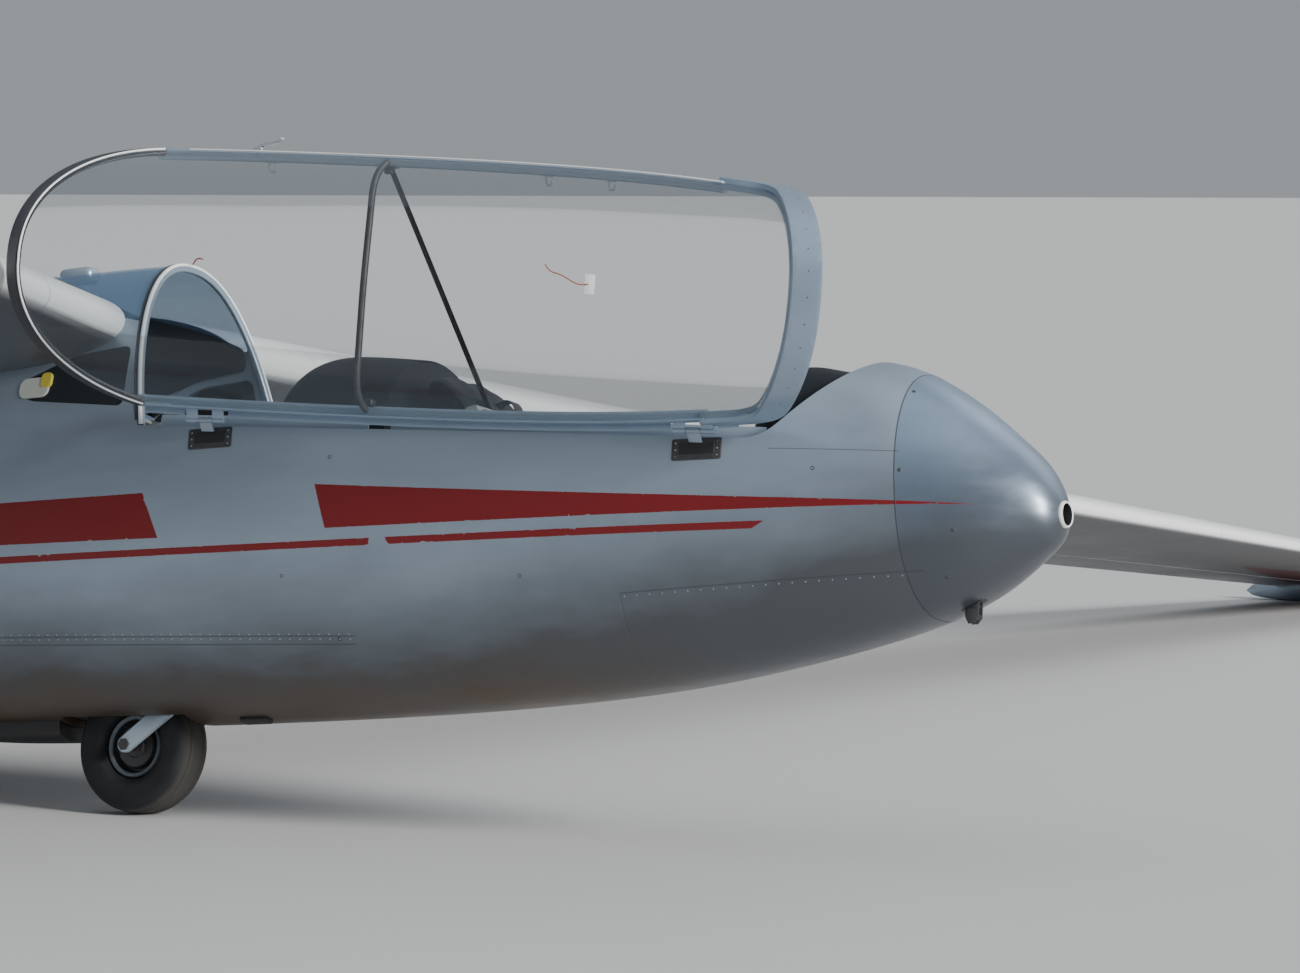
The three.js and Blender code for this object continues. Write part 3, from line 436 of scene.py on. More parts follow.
def axes_at(point, normal, along=(1, 0, 0)):
    """Axes at a point: the point, then along, across and outwards."""
    normal = unit(normal)
    along = unit(np.asarray(along, float) - normal * np.dot(along, normal))
    return np.array(point, float), along, np.cross(normal, along), normal


def hull_axes(x, angle):
    return axes_at(on_hull(x, angle), hull_normal(x, angle))


# Cockpit opening, in side view
SKIN = 18
CLEAR = 6.3
TOUCH = 0.3
SILL_REAR = (202, 799)
SILL_FRONT = (2008, 648)
NOSE_CUT = (2244, 868)
HOOP_LEAN = 87 / 490
HOOP_THICK = 16
SILL_SLOPE = (SILL_FRONT[1] - SILL_REAR[1]) / (SILL_FRONT[0] - SILL_REAR[0])
NOSE_SLOPE = (NOSE_CUT[1] - SILL_FRONT[1]) / (NOSE_CUT[0] - SILL_FRONT[0])
TOP = 1500
CORNER = 60  # how far from its sharp corner the opening's front foot starts to turn
SEAM_TOP = (2338, 870)
SEAM_BOTTOM = (2364, 190)
SEAM_SLOPE = (SEAM_TOP[0] - SEAM_BOTTOM[0]) / (SEAM_TOP[1] - SEAM_BOTTOM[1])


def hoop_x(z):
    return SILL_REAR[0] - (z - SILL_REAR[1]) * HOOP_LEAN


def sill_z(x):
    return SILL_REAR[1] + (x - SILL_REAR[0]) * SILL_SLOPE


def seam_x(z):
    return SEAM_BOTTOM[0] + (z - SEAM_BOTTOM[1]) * SEAM_SLOPE


def rounded(corners, radii, steps=6):
    """An outline whose corners are turned by short curves."""
    outline = []
    for i, corner in enumerate(corners):
        here = np.array(corner, float)
        before = np.array(corners[i - 1], float) - here
        after = np.array(corners[(i + 1) % len(corners)], float) - here
        radius = radii[i] if hasattr(radii, "__len__") else radii
        if not radius:
            outline.append(tuple(here))
            continue
        start = here + before / np.linalg.norm(before) * min(radius, np.linalg.norm(before) / 2)
        end = here + after / np.linalg.norm(after) * min(radius, np.linalg.norm(after) / 2)
        for k in range(steps + 1):
            t = k / steps
            a = start * (1 - t) + here * t
            outline.append(tuple(a * (1 - t) + (here * (1 - t) + end * t) * t))
    return outline


def opening(low, front, rear, corner=CORNER):
    """A prism through the opening, shrunk by a margin at the sill, the front and the rear."""
    front_foot = SILL_FRONT[0] - front * math.hypot(1, 1 / NOSE_SLOPE)
    x0 = hoop_x(SILL_REAR[1] + low) + rear
    x1 = ((front_foot + (low - SILL_FRONT[0] * SILL_SLOPE) / NOSE_SLOPE)
          / (1 - SILL_SLOPE / NOSE_SLOPE))
    front_top = front_foot + (TOP - SILL_FRONT[1]) / NOSE_SLOPE
    return prism(rounded([(x0, sill_z(x0) + low), (x1, sill_z(x1) + low), (front_top, TOP),
                          (hoop_x(TOP) + rear, TOP)], [0, corner, 0, 0]))


def ahead_of_seam(shift):
    return prism([(seam_x(-100) + shift, -100), (3300, -100), (3300, TOP), (seam_x(TOP) + shift, TOP)])


def behind_seam(shift):
    return prism([(-7000, -300), (seam_x(-300) + shift, -300), (seam_x(TOP) + shift, TOP), (-7000, TOP)])


# Materials


class Value:
    """A shader node's output; sums and comparisons of such values become math nodes."""

    def __init__(self, shader, socket):
        self.shader = shader
        self.socket = socket

    def __add__(self, other):
        return self.shader.math("ADD", self, other)

    def __sub__(self, other):
        return self.shader.math("SUBTRACT", self, other)

    def __rsub__(self, other):
        return self.shader.math("SUBTRACT", other, self)

    def __mul__(self, other):
        return self.shader.math("MULTIPLY", self, other)

    def __gt__(self, other):
        return self.shader.math("GREATER_THAN", self, other)

    def __lt__(self, other):
        return self.shader.math("LESS_THAN", self, other)

    def __abs__(self):
        return self.shader.math("ABSOLUTE", self)


class Shader:
    """A material whose nodes are added one line at a time."""

    def __init__(self, name):
        self.material = bpy.data.materials.new(name)
        self.material.use_nodes = True
        self.tree = self.material.node_tree
        self.tree.nodes.clear()
        self.out = self.add("ShaderNodeOutputMaterial")
        self.where = self.value("ShaderNodeMapping", 0, {
            "Vector": self.value("ShaderNodeTexCoord", "Object"),
            "Location": AIR.to_translation(), "Rotation": AIR.to_euler(),
        }, vector_type="TEXTURE")  # in the airframe's frame

    def add(self, kind, inputs=None, **settings):
        node = self.tree.nodes.new(kind)
        for key, value in settings.items():
            setattr(node, key, value)
        for key, value in (inputs or {}).items():
            socket = node.inputs[key]
            if isinstance(value, Value):
                self.tree.links.new(value.socket, socket)
            else:
                socket.default_value = (*value, 1.0) if socket.type == "RGBA" else value
        return node

    def value(self, kind, output, inputs=None, **settings):
        return Value(self, self.add(kind, inputs, **settings).outputs[output])

    def math(self, operation, *values, clamp=False):
        return self.value("ShaderNodeMath", 0, dict(enumerate(values)),
                          operation=operation, use_clamp=clamp)

    def most(self, values):
        return functools.reduce(functools.partial(self.math, "MAXIMUM"), values)

    def xyz(self, vector=None):
        return [Value(self, out)
                for out in self.add("ShaderNodeSeparateXYZ", {0: vector or self.where}).outputs]

    def scaled(self, scale):
        """The object's coordinates, stretched."""
        return self.value("ShaderNodeMapping", 0, {"Vector": self.where, "Scale": scale})

    def noise(self, scale, detail=3.0, rough=0.5, where=None):
        return self.value("ShaderNodeTexNoise", "Fac", {
            "Vector": where or self.where, "Scale": scale, "Detail": detail, "Roughness": rough})

    def ramp(self, value, low, high, to_low=0.0, to_high=1.0):
        return self.value("ShaderNodeMapRange", "Result", {
            "Value": value, "From Min": low, "From Max": high, "To Min": to_low, "To Max": to_high})

    def mix(self, factor, a, b, blend="MIX"):
        return self.value("ShaderNodeMix", 2, {0: factor, 6: a, 7: b}, data_type="RGBA", blend_type=blend)

    def bump(self, height, distance, strength, below=None):
        inputs = {"Height": height, "Distance": distance, "Strength": strength}
        if below:
            inputs["Normal"] = below
        return self.value("ShaderNodeBump", "Normal", inputs)

    def show(self, surface):
        self.tree.links.new(surface.socket, self.out.inputs["Surface"])
        return self.material

    def finish(self, **inputs):
        return self.show(self.value("ShaderNodeBsdfPrincipled", 0, inputs))


def times(base, part):
    return [c * part for c in base]


# The stripes' edges in side view, in metres: height at x = 0 and slope along x
STRIPE_RED = (0.19, 0.005, 0.008)
THICK_TOP = {"at": 0.747, "height": 0.608, "slope": -0.094, "curve": 0.0088}
THICK_LOW = {"at": 0.778, "height": 0.494, "slope": -0.0150}
THICK_LEAN = 0.272  # how far the front part's cut end leans, x per z
REAR_END = (0.264, 0.498)
THIN = {"height": 0.4665, "slope": -0.0150, "half": 0.0090}
THIN_GAP = (0.905, 0.957)
THIN_END = (2.021, 0.446)
SLANT = 0.4  # how far the rear part's cut end leans, x per z
# Seams of the skin in side view: (x0, z0, x1, z1), and upright ones: (x, low, high), in metres
SEAMS = (
    (2.030, 0.622, 2.360, 0.601), (1.610, 0.290, 2.400, 0.313), (-0.640, 0.290, 0.830, 0.224),
    (-0.640, 0.270, 0.830, 0.204), (-4.2, 0.50, -0.66, 0.29), (-0.125, 1.005, 0.075, 1.085),
    (-0.300, 0.990, -0.125, 1.005), (-1.7, 0.955, -0.300, 0.990),
)
UPRIGHT_SEAMS = ((1.610, -1.0, 0.290), (-0.645, -1.0, 2.0), (-2.05, -1.0, 2.0), (-3.55, -1.0, 2.0))
SEAM_HALF = 0.0011


def stripe_mask(s):
    """1 where the two red stripes are, chipped a little along their edges."""
    x, _, z = s.xyz()
    chips = s.ramp(s.noise(26.0, 4.0, 0.7), 0.60, 0.74, 0.0, 0.006)
    worn = chips + s.ramp(s.noise(140.0), 0.2, 0.8, -0.0006, 0.0006)

    def above(height, value):
        return (value - height) > worn

    def line(at, height, slope):
        return s.math("MULTIPLY_ADD", x, slope, height - at * slope)

    ahead = s.math("MAXIMUM", x - THICK_TOP["at"], 0.0)
    front_top = (line(THICK_TOP["at"], THICK_TOP["height"], THICK_TOP["slope"])
                 + ahead * ahead * THICK_TOP["curve"])
    front_low = line(THICK_LOW["at"], THICK_LOW["height"], THICK_LOW["slope"])
    front = (above(z, front_top) * above(front_low, z)
             * above(THICK_LOW["at"] + THICK_LOW["height"] * THICK_LEAN,
                     s.math("MULTIPLY_ADD", z, THICK_LEAN, x)))
    taper = s.math("MAXIMUM", -1.0 - x, 0.0) * 0.034
    rear = (above(z, line(0.0, 0.6195, -0.006)) * above(line(0.0, 0.5045, -0.022) + taper, z)
            * above(x + z * SLANT, REAR_END[0] + REAR_END[1] * SLANT))
    thin = above(abs(z - line(0.0, THIN["height"], THIN["slope"])), THIN["half"])
    gap_half = (THIN_GAP[1] - THIN_GAP[0]) / 2
    ragged = s.ramp(s.noise(60.0, 3.0, 0.6), 0.3, 0.7, gap_half - 0.014, gap_half + 0.014)
    thin = thin * (abs(x - sum(THIN_GAP) / 2) > ragged)
    thin = thin * above(s.math("MULTIPLY_ADD", z, -2.0, x), THIN_END[0] - 2.0 * THIN_END[1])
    thin = thin * above(-4.3, x)
    return s.math("MAXIMUM", s.math("MAXIMUM", front, rear), thin, clamp=True)


def seam_mask(s):
    """1 along the skin's lap seams."""
    x, _, z = s.xyz()

    def piece(distance, value, low, high):
        near = s.ramp(distance, SEAM_HALF * 0.6, SEAM_HALF * 1.5, 1.0, 0.0)
        return near * ((value > low) * (value < high))

    made = []
    for x0, z0, x1, z1 in SEAMS:
        slope = (z1 - z0) / (x1 - x0)
        made.append(piece(abs(z - s.math("MULTIPLY_ADD", x, slope, z0 - x0 * slope)), x, x0, x1))
    made += [piece(abs(x - x0), z, low, high) for x0, low, high in UPRIGHT_SEAMS]
    return s.most(made)


def painted(name, base, metallic, roughness, skin=False, streaks=0.5):
    """Sprayed paint: broad cloudiness, fine streaks along the airflow, scuffs and, on the hull's
    skin, stripes, seams, painted shade darkening the belly and a painted reflection of the ground low on
    it."""
    s = Shader(name)
    broad = s.noise(2.3, 3.0)
    along = s.noise(9.0, 5.0, 0.6, s.scaled((0.35, 1.0, 2.6)))
    light = s.ramp(broad, 0.3, 0.7, 0.93, 1.04) + s.ramp(along, 0.3, 0.7, -0.05 * streaks, 0.05 * streaks)
    grey = s.value("ShaderNodeCombineColor", 0, {0: light, 1: light, 2: light})
    paint = s.mix(1.0, base, grey, "MULTIPLY")
    scuffs = s.ramp(s.noise(75.0, 6.0, 0.75), 0.68, 0.78)
    paint = s.mix(scuffs * (0.25 * streaks), paint, times(base, 0.55))
    rough = s.ramp(along, 0.3, 0.7, roughness - 0.05, roughness + 0.07) + scuffs * 0.15
    metal = metallic
    normal = s.bump(s.noise(420.0, 2.0), 0.0002, 0.25)
    normal = s.bump(s.noise(6.0, 2.0, where=s.scaled((1.0, 1.0, 1.4))), 0.012, 0.22, normal)
    if skin:
        x, _, z = s.xyz()
        ahead = s.math("MAXIMUM", x - 0.9, 0.0)
        over_keel = z - ahead * ahead * 0.085
        # Painted shade: the skin is darkened towards the keel, whose line rises ahead of 0.9 m.
        belly_shade_level = over_keel + s.ramp(s.noise(4.0, 4.0, 0.6, s.scaled((0.4, 1.0, 1.0))), 0.3, 0.7, -0.05, 0.05)
        paint = s.mix(s.ramp(belly_shade_level, 0.46, 0.16, 0.0, 0.88), paint, (0.072, 0.074, 0.078))
        # Painted reflection: a warm cast of the ground, low on the belly and fading out towards the nose.
        ground_reflection = s.ramp(belly_shade_level, 0.20, 0.05, 0.0, 0.8) * s.ramp(x, 1.9, 1.1)
        paint = s.mix(ground_reflection, paint, (0.125, 0.075, 0.036))
        mask = seam_mask(s)
        paint = s.mix(mask * 0.55, paint, (0.10, 0.10, 0.11))
        normal = s.bump(mask, -0.0012, 0.8, normal)
        mask = stripe_mask(s)
        paint = s.mix(mask, paint, STRIPE_RED)
        metal = (1.0 - mask) * metallic
        normal = s.bump(mask, 0.0003, 0.6, normal)
    return s.finish(**{"Base Color": paint, "Metallic": metal, "Roughness": rough, "Normal": normal,
                       "Coat Weight": 0.05, "Coat Roughness": 0.25})


def wing_paint(name):
    """White above and round the leading edge, silver grey below made dark as painted shade, dark red under
    the tips.
    """
    s = Shader(name)
    facing = s.xyz(s.value("ShaderNodeNewGeometry", "Normal"))[2]
    x, y, _ = s.xyz()
    span = abs(y)
    soft = s.noise(3.0, 4.0, 0.6)
    # Faces turned downwards get the grey: silver paint made dark as painted shade.
    under = s.ramp(facing, -0.5, -0.8)
    white = s.mix(s.ramp(soft, 0.3, 0.8, 0.0, 0.2), (0.86, 0.87, 0.87), (0.66, 0.67, 0.67))
    grey = s.mix(s.ramp(soft, 0.3, 0.7), (0.085, 0.09, 0.10), (0.13, 0.135, 0.145))
    wedge = (abs(x - 0.10) < (span - 6.9) * 0.22) * (span < 8.0)
    grey = s.mix(wedge, grey, (0.10, 0.006, 0.014))
    seam = s.most([s.ramp(abs(span - station), 0.0008, 0.0018, 1.0, 0.0)
                   for station in (0.62, 2.2, 3.65, 4.3, 6.1, 7.95)])
    paint = s.mix(seam * 0.6, s.mix(under, white, grey), (0.09, 0.09, 0.10))
    normal = s.bump(seam, -0.001, 0.6, s.bump(s.noise(420.0, 2.0), 0.0002, 0.25))
    return s.finish(**{"Base Color": paint, "Metallic": under * 0.35,
                       "Roughness": s.ramp(soft, 0.3, 0.7, 0.30, 0.42), "Normal": normal,
                       "Coat Weight": 0.12, "Coat Roughness": 0.25})


def rubber(name, base, roughness, dusty):
    s = Shader(name)
    dust = s.ramp(s.noise(14.0, 5.0, 0.7), 0.45, 0.75)
    shade = s.mix(dust * dusty, base, (0.17, 0.155, 0.135))
    x, _, z = s.xyz()
    from_axle = s.math("SQRT", x * x + z * z)
    tread = s.ramp(from_axle, 0.166, 0.173) * (from_axle < 0.2)
    shade = s.mix(tread * 0.55, shade, (0.085, 0.078, 0.068))
    return s.finish(**{"Base Color": shade, "Normal": s.bump(s.noise(600.0, 3.0), 0.0003, 0.4),
                       "Roughness": s.ramp(dust, 0.0, 1.0, roughness, roughness + 0.15)})


def fabric(name, base, thread=0.0016):
    """Plain woven cloth: two crossing sets of threads, with lint and fading."""
    s = Shader(name)
    x, y, z = s.xyz()
    turn = 2 * math.pi / thread
    weave = s.math("SINE", (x + z) * turn) * s.math("SINE", (y - z) * turn)
    fade = s.ramp(s.noise(7.0, 4.0), 0.3, 0.7)
    shade = s.mix(fade * 0.5, base, times(base, 1.6))
    shade = s.mix(s.ramp(weave, -1.0, 1.0, 0.0, 0.35), shade, times(base, 0.45))
    return s.finish(**{"Base Color": shade, "Roughness": s.ramp(fade, 0.0, 1.0, 0.8, 0.95),
                       "Normal": s.bump(weave, 0.0004, 0.6), "Sheen Weight": 0.25, "Sheen Roughness": 0.5})


def leather(name, base):
    """Coated cloth with a pebbled grain and paler worn patches."""
    s = Shader(name)
    cells = s.value("ShaderNodeTexVoronoi", "Distance", {"Vector": s.where, "Scale": 320.0},
                    feature="DISTANCE_TO_EDGE")
    grain = s.ramp(cells, 0.0, 0.14)
    wear = s.ramp(s.noise(5.0, 5.0, 0.65), 0.45, 0.75)
    shade = s.mix(wear * 0.4, base, [min(1, c * 2.2 + 0.01) for c in base])
    shade = s.mix(s.ramp(grain, 0.0, 1.0, 0.4, 0.0), shade, times(base, 0.4))
    normal = s.bump(s.noise(9.0, 2.0), 0.01, 0.25, s.bump(grain, 0.0004, 0.5))
    return s.finish(**{"Base Color": shade, "Normal": normal, "Specular IOR Level": 0.22,
                       "Roughness": s.ramp(wear, 0.0, 1.0, 0.45, 0.65)})


def bare_metal(name, base, roughness, metallic=0.9):
    s = Shader(name)
    grain = s.noise(160.0, 3.0, 0.6, s.scaled((0.15, 1.0, 1.0)))
    tarnish = s.ramp(s.noise(22.0, 5.0, 0.7), 0.5, 0.75)
    rough = s.ramp(grain, 0.3, 0.7, roughness - 0.06, roughness + 0.08) + tarnish * 0.2
    return s.finish(**{"Base Color": s.mix(tarnish * 0.5, base, times(base, 0.45)), "Metallic": metallic,
                       "Roughness": rough, "Normal": s.bump(grain, 0.0001, 0.3)})


def clear_pane(name, tint, haze, sheen=(0.13, 0.15, 0.17)):
    """Clear acrylic: light passes straight through it, with a gloss and a few fine scratches."""
    s = Shader(name)
    scratches = s.ramp(s.noise(38.0, 6.0, 0.8, s.scaled((1.0, 6.0, 1.0))), 0.62, 0.8)
    gloss = s.value("ShaderNodeBsdfPrincipled", 0, {
        "Base Color": sheen, "Roughness": s.ramp(scratches, 0.0, 1.0, 0.04, 0.2),
        "IOR": 1.49, "Specular IOR Level": 0.7,
    })
    through = s.value("ShaderNodeBsdfTransparent", 0, {"Color": tint})
    edge = s.value("ShaderNodeLayerWeight", "Fresnel", {"Blend": 0.22})
    share = s.ramp(edge, 0.0, 1.0, haze, 0.4) + scratches * 0.02
    return s.show(s.value("ShaderNodeMixShader", 0, {0: share, 1: through, 2: gloss}))


SILVER_BASE = (0.345, 0.42, 0.505)
silver_hull = painted("silver_hull", SILVER_BASE, 0.55, 0.36, skin=True)
# The nose cone's copy of the silver, darker and bluer: a painted reflection of the sky.
silver_nose_painted_sky = painted("silver_nose_painted_sky", (0.27, 0.36, 0.48), 0.62, 0.34, skin=True)
silver_plain = painted("silver_plain", SILVER_BASE, 0.55, 0.36)
# A bluer copy of the silver for the canopy's frame and fittings: a painted reflection of the sky.
silver_painted_sky = painted("silver_painted_sky", (0.33, 0.425, 0.54), 0.5, 0.33, streaks=0.2)
wing_white = wing_paint("wing_white")
white_paint = painted("white_paint", (0.80, 0.81, 0.81), 0.0, 0.33)
white_trim = painted("white_trim", (0.86, 0.87, 0.87), 0.0, 0.45, streaks=1.0)
inner_paint = painted("inner_paint", (0.33, 0.36, 0.35), 0.15, 0.6, streaks=1.2)
red_paint = painted("red_paint", (0.42, 0.03, 0.03), 0.0, 0.4)
pale_gear = painted("pale_gear", (0.47, 0.56, 0.65), 0.2, 0.42, streaks=1.2)
black_enamel = painted("black_enamel", (0.018, 0.018, 0.020), 0.0, 0.45, streaks=1.5)
plug_pale = painted("plug_pale", (0.52, 0.55, 0.50), 0.0, 0.6)
plug_yellow = painted("plug_yellow", (0.62, 0.50, 0.06), 0.0, 0.6)
tyre_rubber = rubber("tyre_rubber", (0.006, 0.008, 0.010), 0.66, 0.10)
seal_rubber = rubber("seal_rubber", (0.028, 0.032, 0.040), 0.42, 0.12)
black_vinyl = leather("black_vinyl", (0.009, 0.012, 0.018))
seat_cloth = fabric("seat_cloth", (0.030, 0.032, 0.038))
red_cloth = fabric("red_cloth", (0.19, 0.014, 0.022), 0.0022)
red_yarn = fabric("red_yarn", (0.42, 0.06, 0.03), 0.0012)
webbing = fabric("webbing", (0.014, 0.014, 0.016), 0.0026)
grey_metal = bare_metal("grey_metal", (0.42, 0.44, 0.46), 0.38)
dark_metal = bare_metal("dark_metal", (0.10, 0.10, 0.105), 0.5, 0.7)
rim_metal = bare_metal("rim_metal", (0.16, 0.19, 0.22), 0.42, 0.6)
pale_metal = bare_metal("pale_metal", (0.60, 0.63, 0.66), 0.34)
glass = clear_pane("canopy_pane", (0.97, 0.985, 0.99), 0.015)
# The side panes' near-black tint is painted shade: it darkens all that is seen through them.
window_glass = clear_pane("window_pane", (0.07, 0.085, 0.09), 0.17, (0.16, 0.18, 0.20))
top_glass = clear_pane("top_pane", (0.72, 0.80, 0.88), 0.30, (0.26, 0.38, 0.53))

# Fuselage skin

FRAME_JOINT = -640
WELL = {"x": 197, "y": 100, "z": 190}
WINDOW = [(128, 1024), (132, 856), (-184, 893), (-224, 928), (-205, 950), (-44, 1012)]
WINDOW_MIDDLE = np.array((-30, 945))
REAR_PANE_LOW = [(140, 1092), (-300, 1206)]
PANE = 5
PANE_DEPTH = 3
VENT_AT = (0, 0, 458)
window_outline = rounded(WINDOW, 26, 8)


def rear_pane_zone(shrink):
    front, back = REAR_PANE_LOW
    gap = HOOP_THICK + 2 * TOUCH + shrink
    return prism(rounded([
        (hoop_x(front[1]) - gap, front[1] + shrink), (hoop_x(TOP) - gap, TOP),
        (back[0] + shrink, TOP), (back[0] + shrink, back[1] + shrink),
    ], [14, 0, 0, 14]))


# The opening is cut before the cavity, so that the cavity is never a closed void
skin = carve(
    hull(2640, FRAME_JOINT + TOUCH / 2, 0, 26), ahead_of_seam(-TOUCH / 2),
    opening(0, 0, -HOOP_THICK - TOUCH), carve(hull(2290, -300, SKIN, 40), ahead_of_seam(-SKIN)),
    prism(window_outline), rear_pane_zone(0),
    block(-WELL["x"], WELL["x"], -WELL["y"], WELL["y"], -3000, WELL["z"]),
)
place("fuselage_skin", skin, silver_hull, "fuselage_forward")
nose = carve(hull(2695, 2200, 0, 14), behind_seam(TOUCH / 2 + 0.4),
             lathe(disc(28, 2660, 2760), 48, VENT_AT, "X"))
place("nose_skin", nose, silver_nose_painted_sky, "nose_cone")
vent = lathe([(25.5, 2664), (27.7, 2664), (27.7, 2690), (33, 2690), (33.6, 2694), (32.5, 2699),
              (30, 2701.8), (27.5, 2700), (25.8, 2694)], 64, VENT_AT, "X")
place("nose_vent", vent, white_trim, "nose_vent_ring")
# A black disc at the bottom of the vent's bore and a black tube lining it: painted shade of the hole's
# inside.
place("nose_vent_screen", lathe(disc(25.2, 2665, 2667), 40, VENT_AT, "X"), black_enamel)
bore_shade = lathe([(24.6, 2668), (25.3, 2668), (25.5, 2694.5), (27.2, 2700.2), (26.5, 2700.6),
               (24.8, 2694.8)], 64, VENT_AT, "X")
place("nose_vent_liner", bore_shade, black_enamel)
nozzle = lathe([(7, 2667), (10, 2667), (10, 2684), (8.5, 2686), (7, 2684)], 24, (0, 0, 452), "X")
place("nose_vent_nozzle", nozzle, dark_metal)

# Lifting surfaces

LUG = {"half": 4, "radius": 12, "root": 10, "play": 0.6}
FLAP_HIGH = 260
FLAP_LONG = 700


def half_turn(radius, side, steps=14):
    angles = [math.pi / 2 - k / steps * math.pi * side for k in range(steps + 1)]
    return [(radius * math.cos(angle), -radius * math.sin(angle)) for angle in angles]


def span_axes(a, b):
    """Unit directions from a to b and aft, square to each other."""
    along = (b - a) / np.linalg.norm(b - a)
    back = np.array((-1.0, 0, 0)) + along * along[0]
    return along, back / np.linalg.norm(back)


def split_flap(make, a, b, nose, span, cut, lugs):
    """A surface split at a hinge from a to b into a flap and the rest, with lugs; the last of
    what it returns makes the slot's cutter."""
    a = np.asarray(a, float)
    along, back = span_axes(a, np.asarray(b, float))
    up = np.cross(along, back)

    def solid(outline, start, end):
        return loft([[a + along * s + back * p + up * q for p, q in outline] for s in (start, end)])

    def flap_outline(radius):
        return ([(0, -FLAP_HIGH)] + half_turn(radius, -1)
                + [(0, FLAP_HIGH), (FLAP_LONG, FLAP_HIGH), (FLAP_LONG, -FLAP_HIGH)])

    reach = nose + CLEAR
    foot = -reach - LUG["root"]
    lug_outline = [(foot, -LUG["radius"])] + half_turn(LUG["radius"], 1) + [(foot, LUG["radius"])]
    clear = LUG["radius"] + 4
    notch = [(-reach, -reach), (clear, -reach), (clear, reach), (-reach, reach)]
    flap = keep(make(), solid(flap_outline(nose), *span))
    rest = carve(make(), solid(flap_outline(reach), *cut))
    wide = LUG["half"] + LUG["play"]
    for s in lugs:
        weld(rest, solid(lug_outline, s - LUG["half"], s + LUG["half"]))
        carve(flap, solid(notch, s - wide, s + wide))
    return flap, rest, lambda: solid(flap_outline(reach), *cut)


def mean_line(t, camber):
    if t < 0.4:
        return camber / 0.16 * (0.8 * t - t * t)
    return camber / 0.36 * (0.2 + 0.8 * t - t * t)


def aerofoil(thick, camber, swell=0.0, steps=32):
    """A four-digit style section for a unit chord: from the trailing edge over the top to the
    leading edge and back underneath."""
    def half(t):
        return 5 * thick * (0.2969 * math.sqrt(t) - 0.126 * t - 0.3516 * t ** 2
                            + 0.2843 * t ** 3 - 0.1015 * t ** 4) + swell
    top = [(1 + math.cos(k / steps * math.pi)) / 2 for k in range(steps + 1)]
    low = [(1 - math.cos(k / steps * math.pi)) / 2 for k in range(1, steps + 1)]
    return ([(t - (swell if t < 1e-9 else 0), mean_line(t, camber) + (half(t) if t > 1e-9 else 0))
             for t in top] + [(t, mean_line(t, camber) - half(t)) for t in low])


WING_ROOT_Y = 330
WING_TIP_Y = 8050
WING_LEAD = (86, 1088)
WING_SWEEP = math.tan(math.radians(3))
WING_RISE = math.tan(math.radians(3))
CAMBER = 0.03
WING_ENDS = [
    # station across, chord, thickness, pitch
    (90, 1679, 0.15, math.radians(4)), (WING_TIP_Y, 700, 0.12, math.radians(1)),
]
AILERON = {"inner": 4350, "outer": 7930, "at": 0.72, "nose": 51}
BRAKE = {"inner": 2350, "outer": 3500, "at": 0.42, "thick": 8, "high": 62, "recess": 10}
BRAKE_REACH = 200  # how far the airbrakes' slots are cut past the skin
COARSE_STEPS = 11  # the solids' own sections, which set the airbrakes' height
TIP_BODY = {"half": 540, "radius": 64, "drop": 14}


def section_point(section, along, up):
    y, chord, _, pitch = section
    out = y - WING_ROOT_Y
    return np.array((
        WING_LEAD[0] + out * WING_SWEEP - chord * (along * math.cos(pitch) - up * math.sin(pitch)), y,
        WING_LEAD[1] + out * WING_RISE + chord * (up * math.cos(pitch) - along * math.sin(pitch)),
    ))


def wing_point(y, along, up):
    t = (y - WING_ENDS[0][0]) / (WING_TIP_Y - WING_ENDS[0][0])
    return (section_point(WING_ENDS[0], along, up) * (1 - t)
            + section_point(WING_ENDS[1], along, up) * t)


def wing_solid(swell=0.0):
    low, high = [np.array([section_point(end, *point)
                           for point in aerofoil(end[2], CAMBER, swell / end[1])]) for end in WING_ENDS]
    return loft([low * (1 - t) + high * t for t in np.linspace(0, 1, 14)])


def brake_box(upper, play, grow, lift, high):
    """A box on the airbrakes' axes, its top at lift from the skin's mean height there."""
    inner = wing_point(BRAKE["inner"], BRAKE["at"], 0)
    along, back = span_axes(inner, wing_point(BRAKE["outer"], BRAKE["at"], 0))
    out = np.cross(along, back) * (1 if upper else -1)
    middle = (BRAKE["inner"] + BRAKE["outer"]) / 2
    part = (middle - WING_ENDS[0][0]) / (WING_TIP_Y - WING_ENDS[0][0])
    thick = WING_ENDS[0][2] * (1 - part) + WING_ENDS[1][2] * part
    near = [u for t, u in aerofoil(thick, CAMBER, 0, COARSE_STEPS)
            if abs(t - BRAKE["at"]) < 0.12 and (u > 0) == upper]
    centre = wing_point(middle, BRAKE["at"], sum(near) / len(near))
    half = (BRAKE["outer"] - BRAKE["inner"]) / 2 + play
    deep = BRAKE["thick"] / 2 + grow
    corners = ((-deep, lift - high), (deep, lift - high), (deep, lift), (-deep, lift))
    return loft([[centre + along * s + back * p + out * q for p, q in corners] for s in (-half, half)])


def split_wing():
    ends = [wing_point(AILERON[end], AILERON["at"], mean_line(AILERON["at"], CAMBER))
            for end in ("inner", "outer")]
    span = float(np.linalg.norm(ends[1] - ends[0]))
    return split_flap(wing_solid, *ends, AILERON["nose"], (CLEAR, span - CLEAR), (0, span),
                      [part * span for part in (0.12, 0.5, 0.88)])


def port_wing():
    flap, rest, _ = split_wing()
    bpy.data.objects.remove(flap)
    deep = BRAKE_REACH + BRAKE["recess"] + BRAKE["high"] + CLEAR
    slots = [brake_box(upper, LUG["play"], CLEAR, BRAKE_REACH, deep) for upper in (True, False)]
    return carve(rest, *slots, hull(1200, -2800, -TOUCH))


def port_aileron():
    flap, rest, _ = split_wing()
    bpy.data.objects.remove(rest)
    return flap


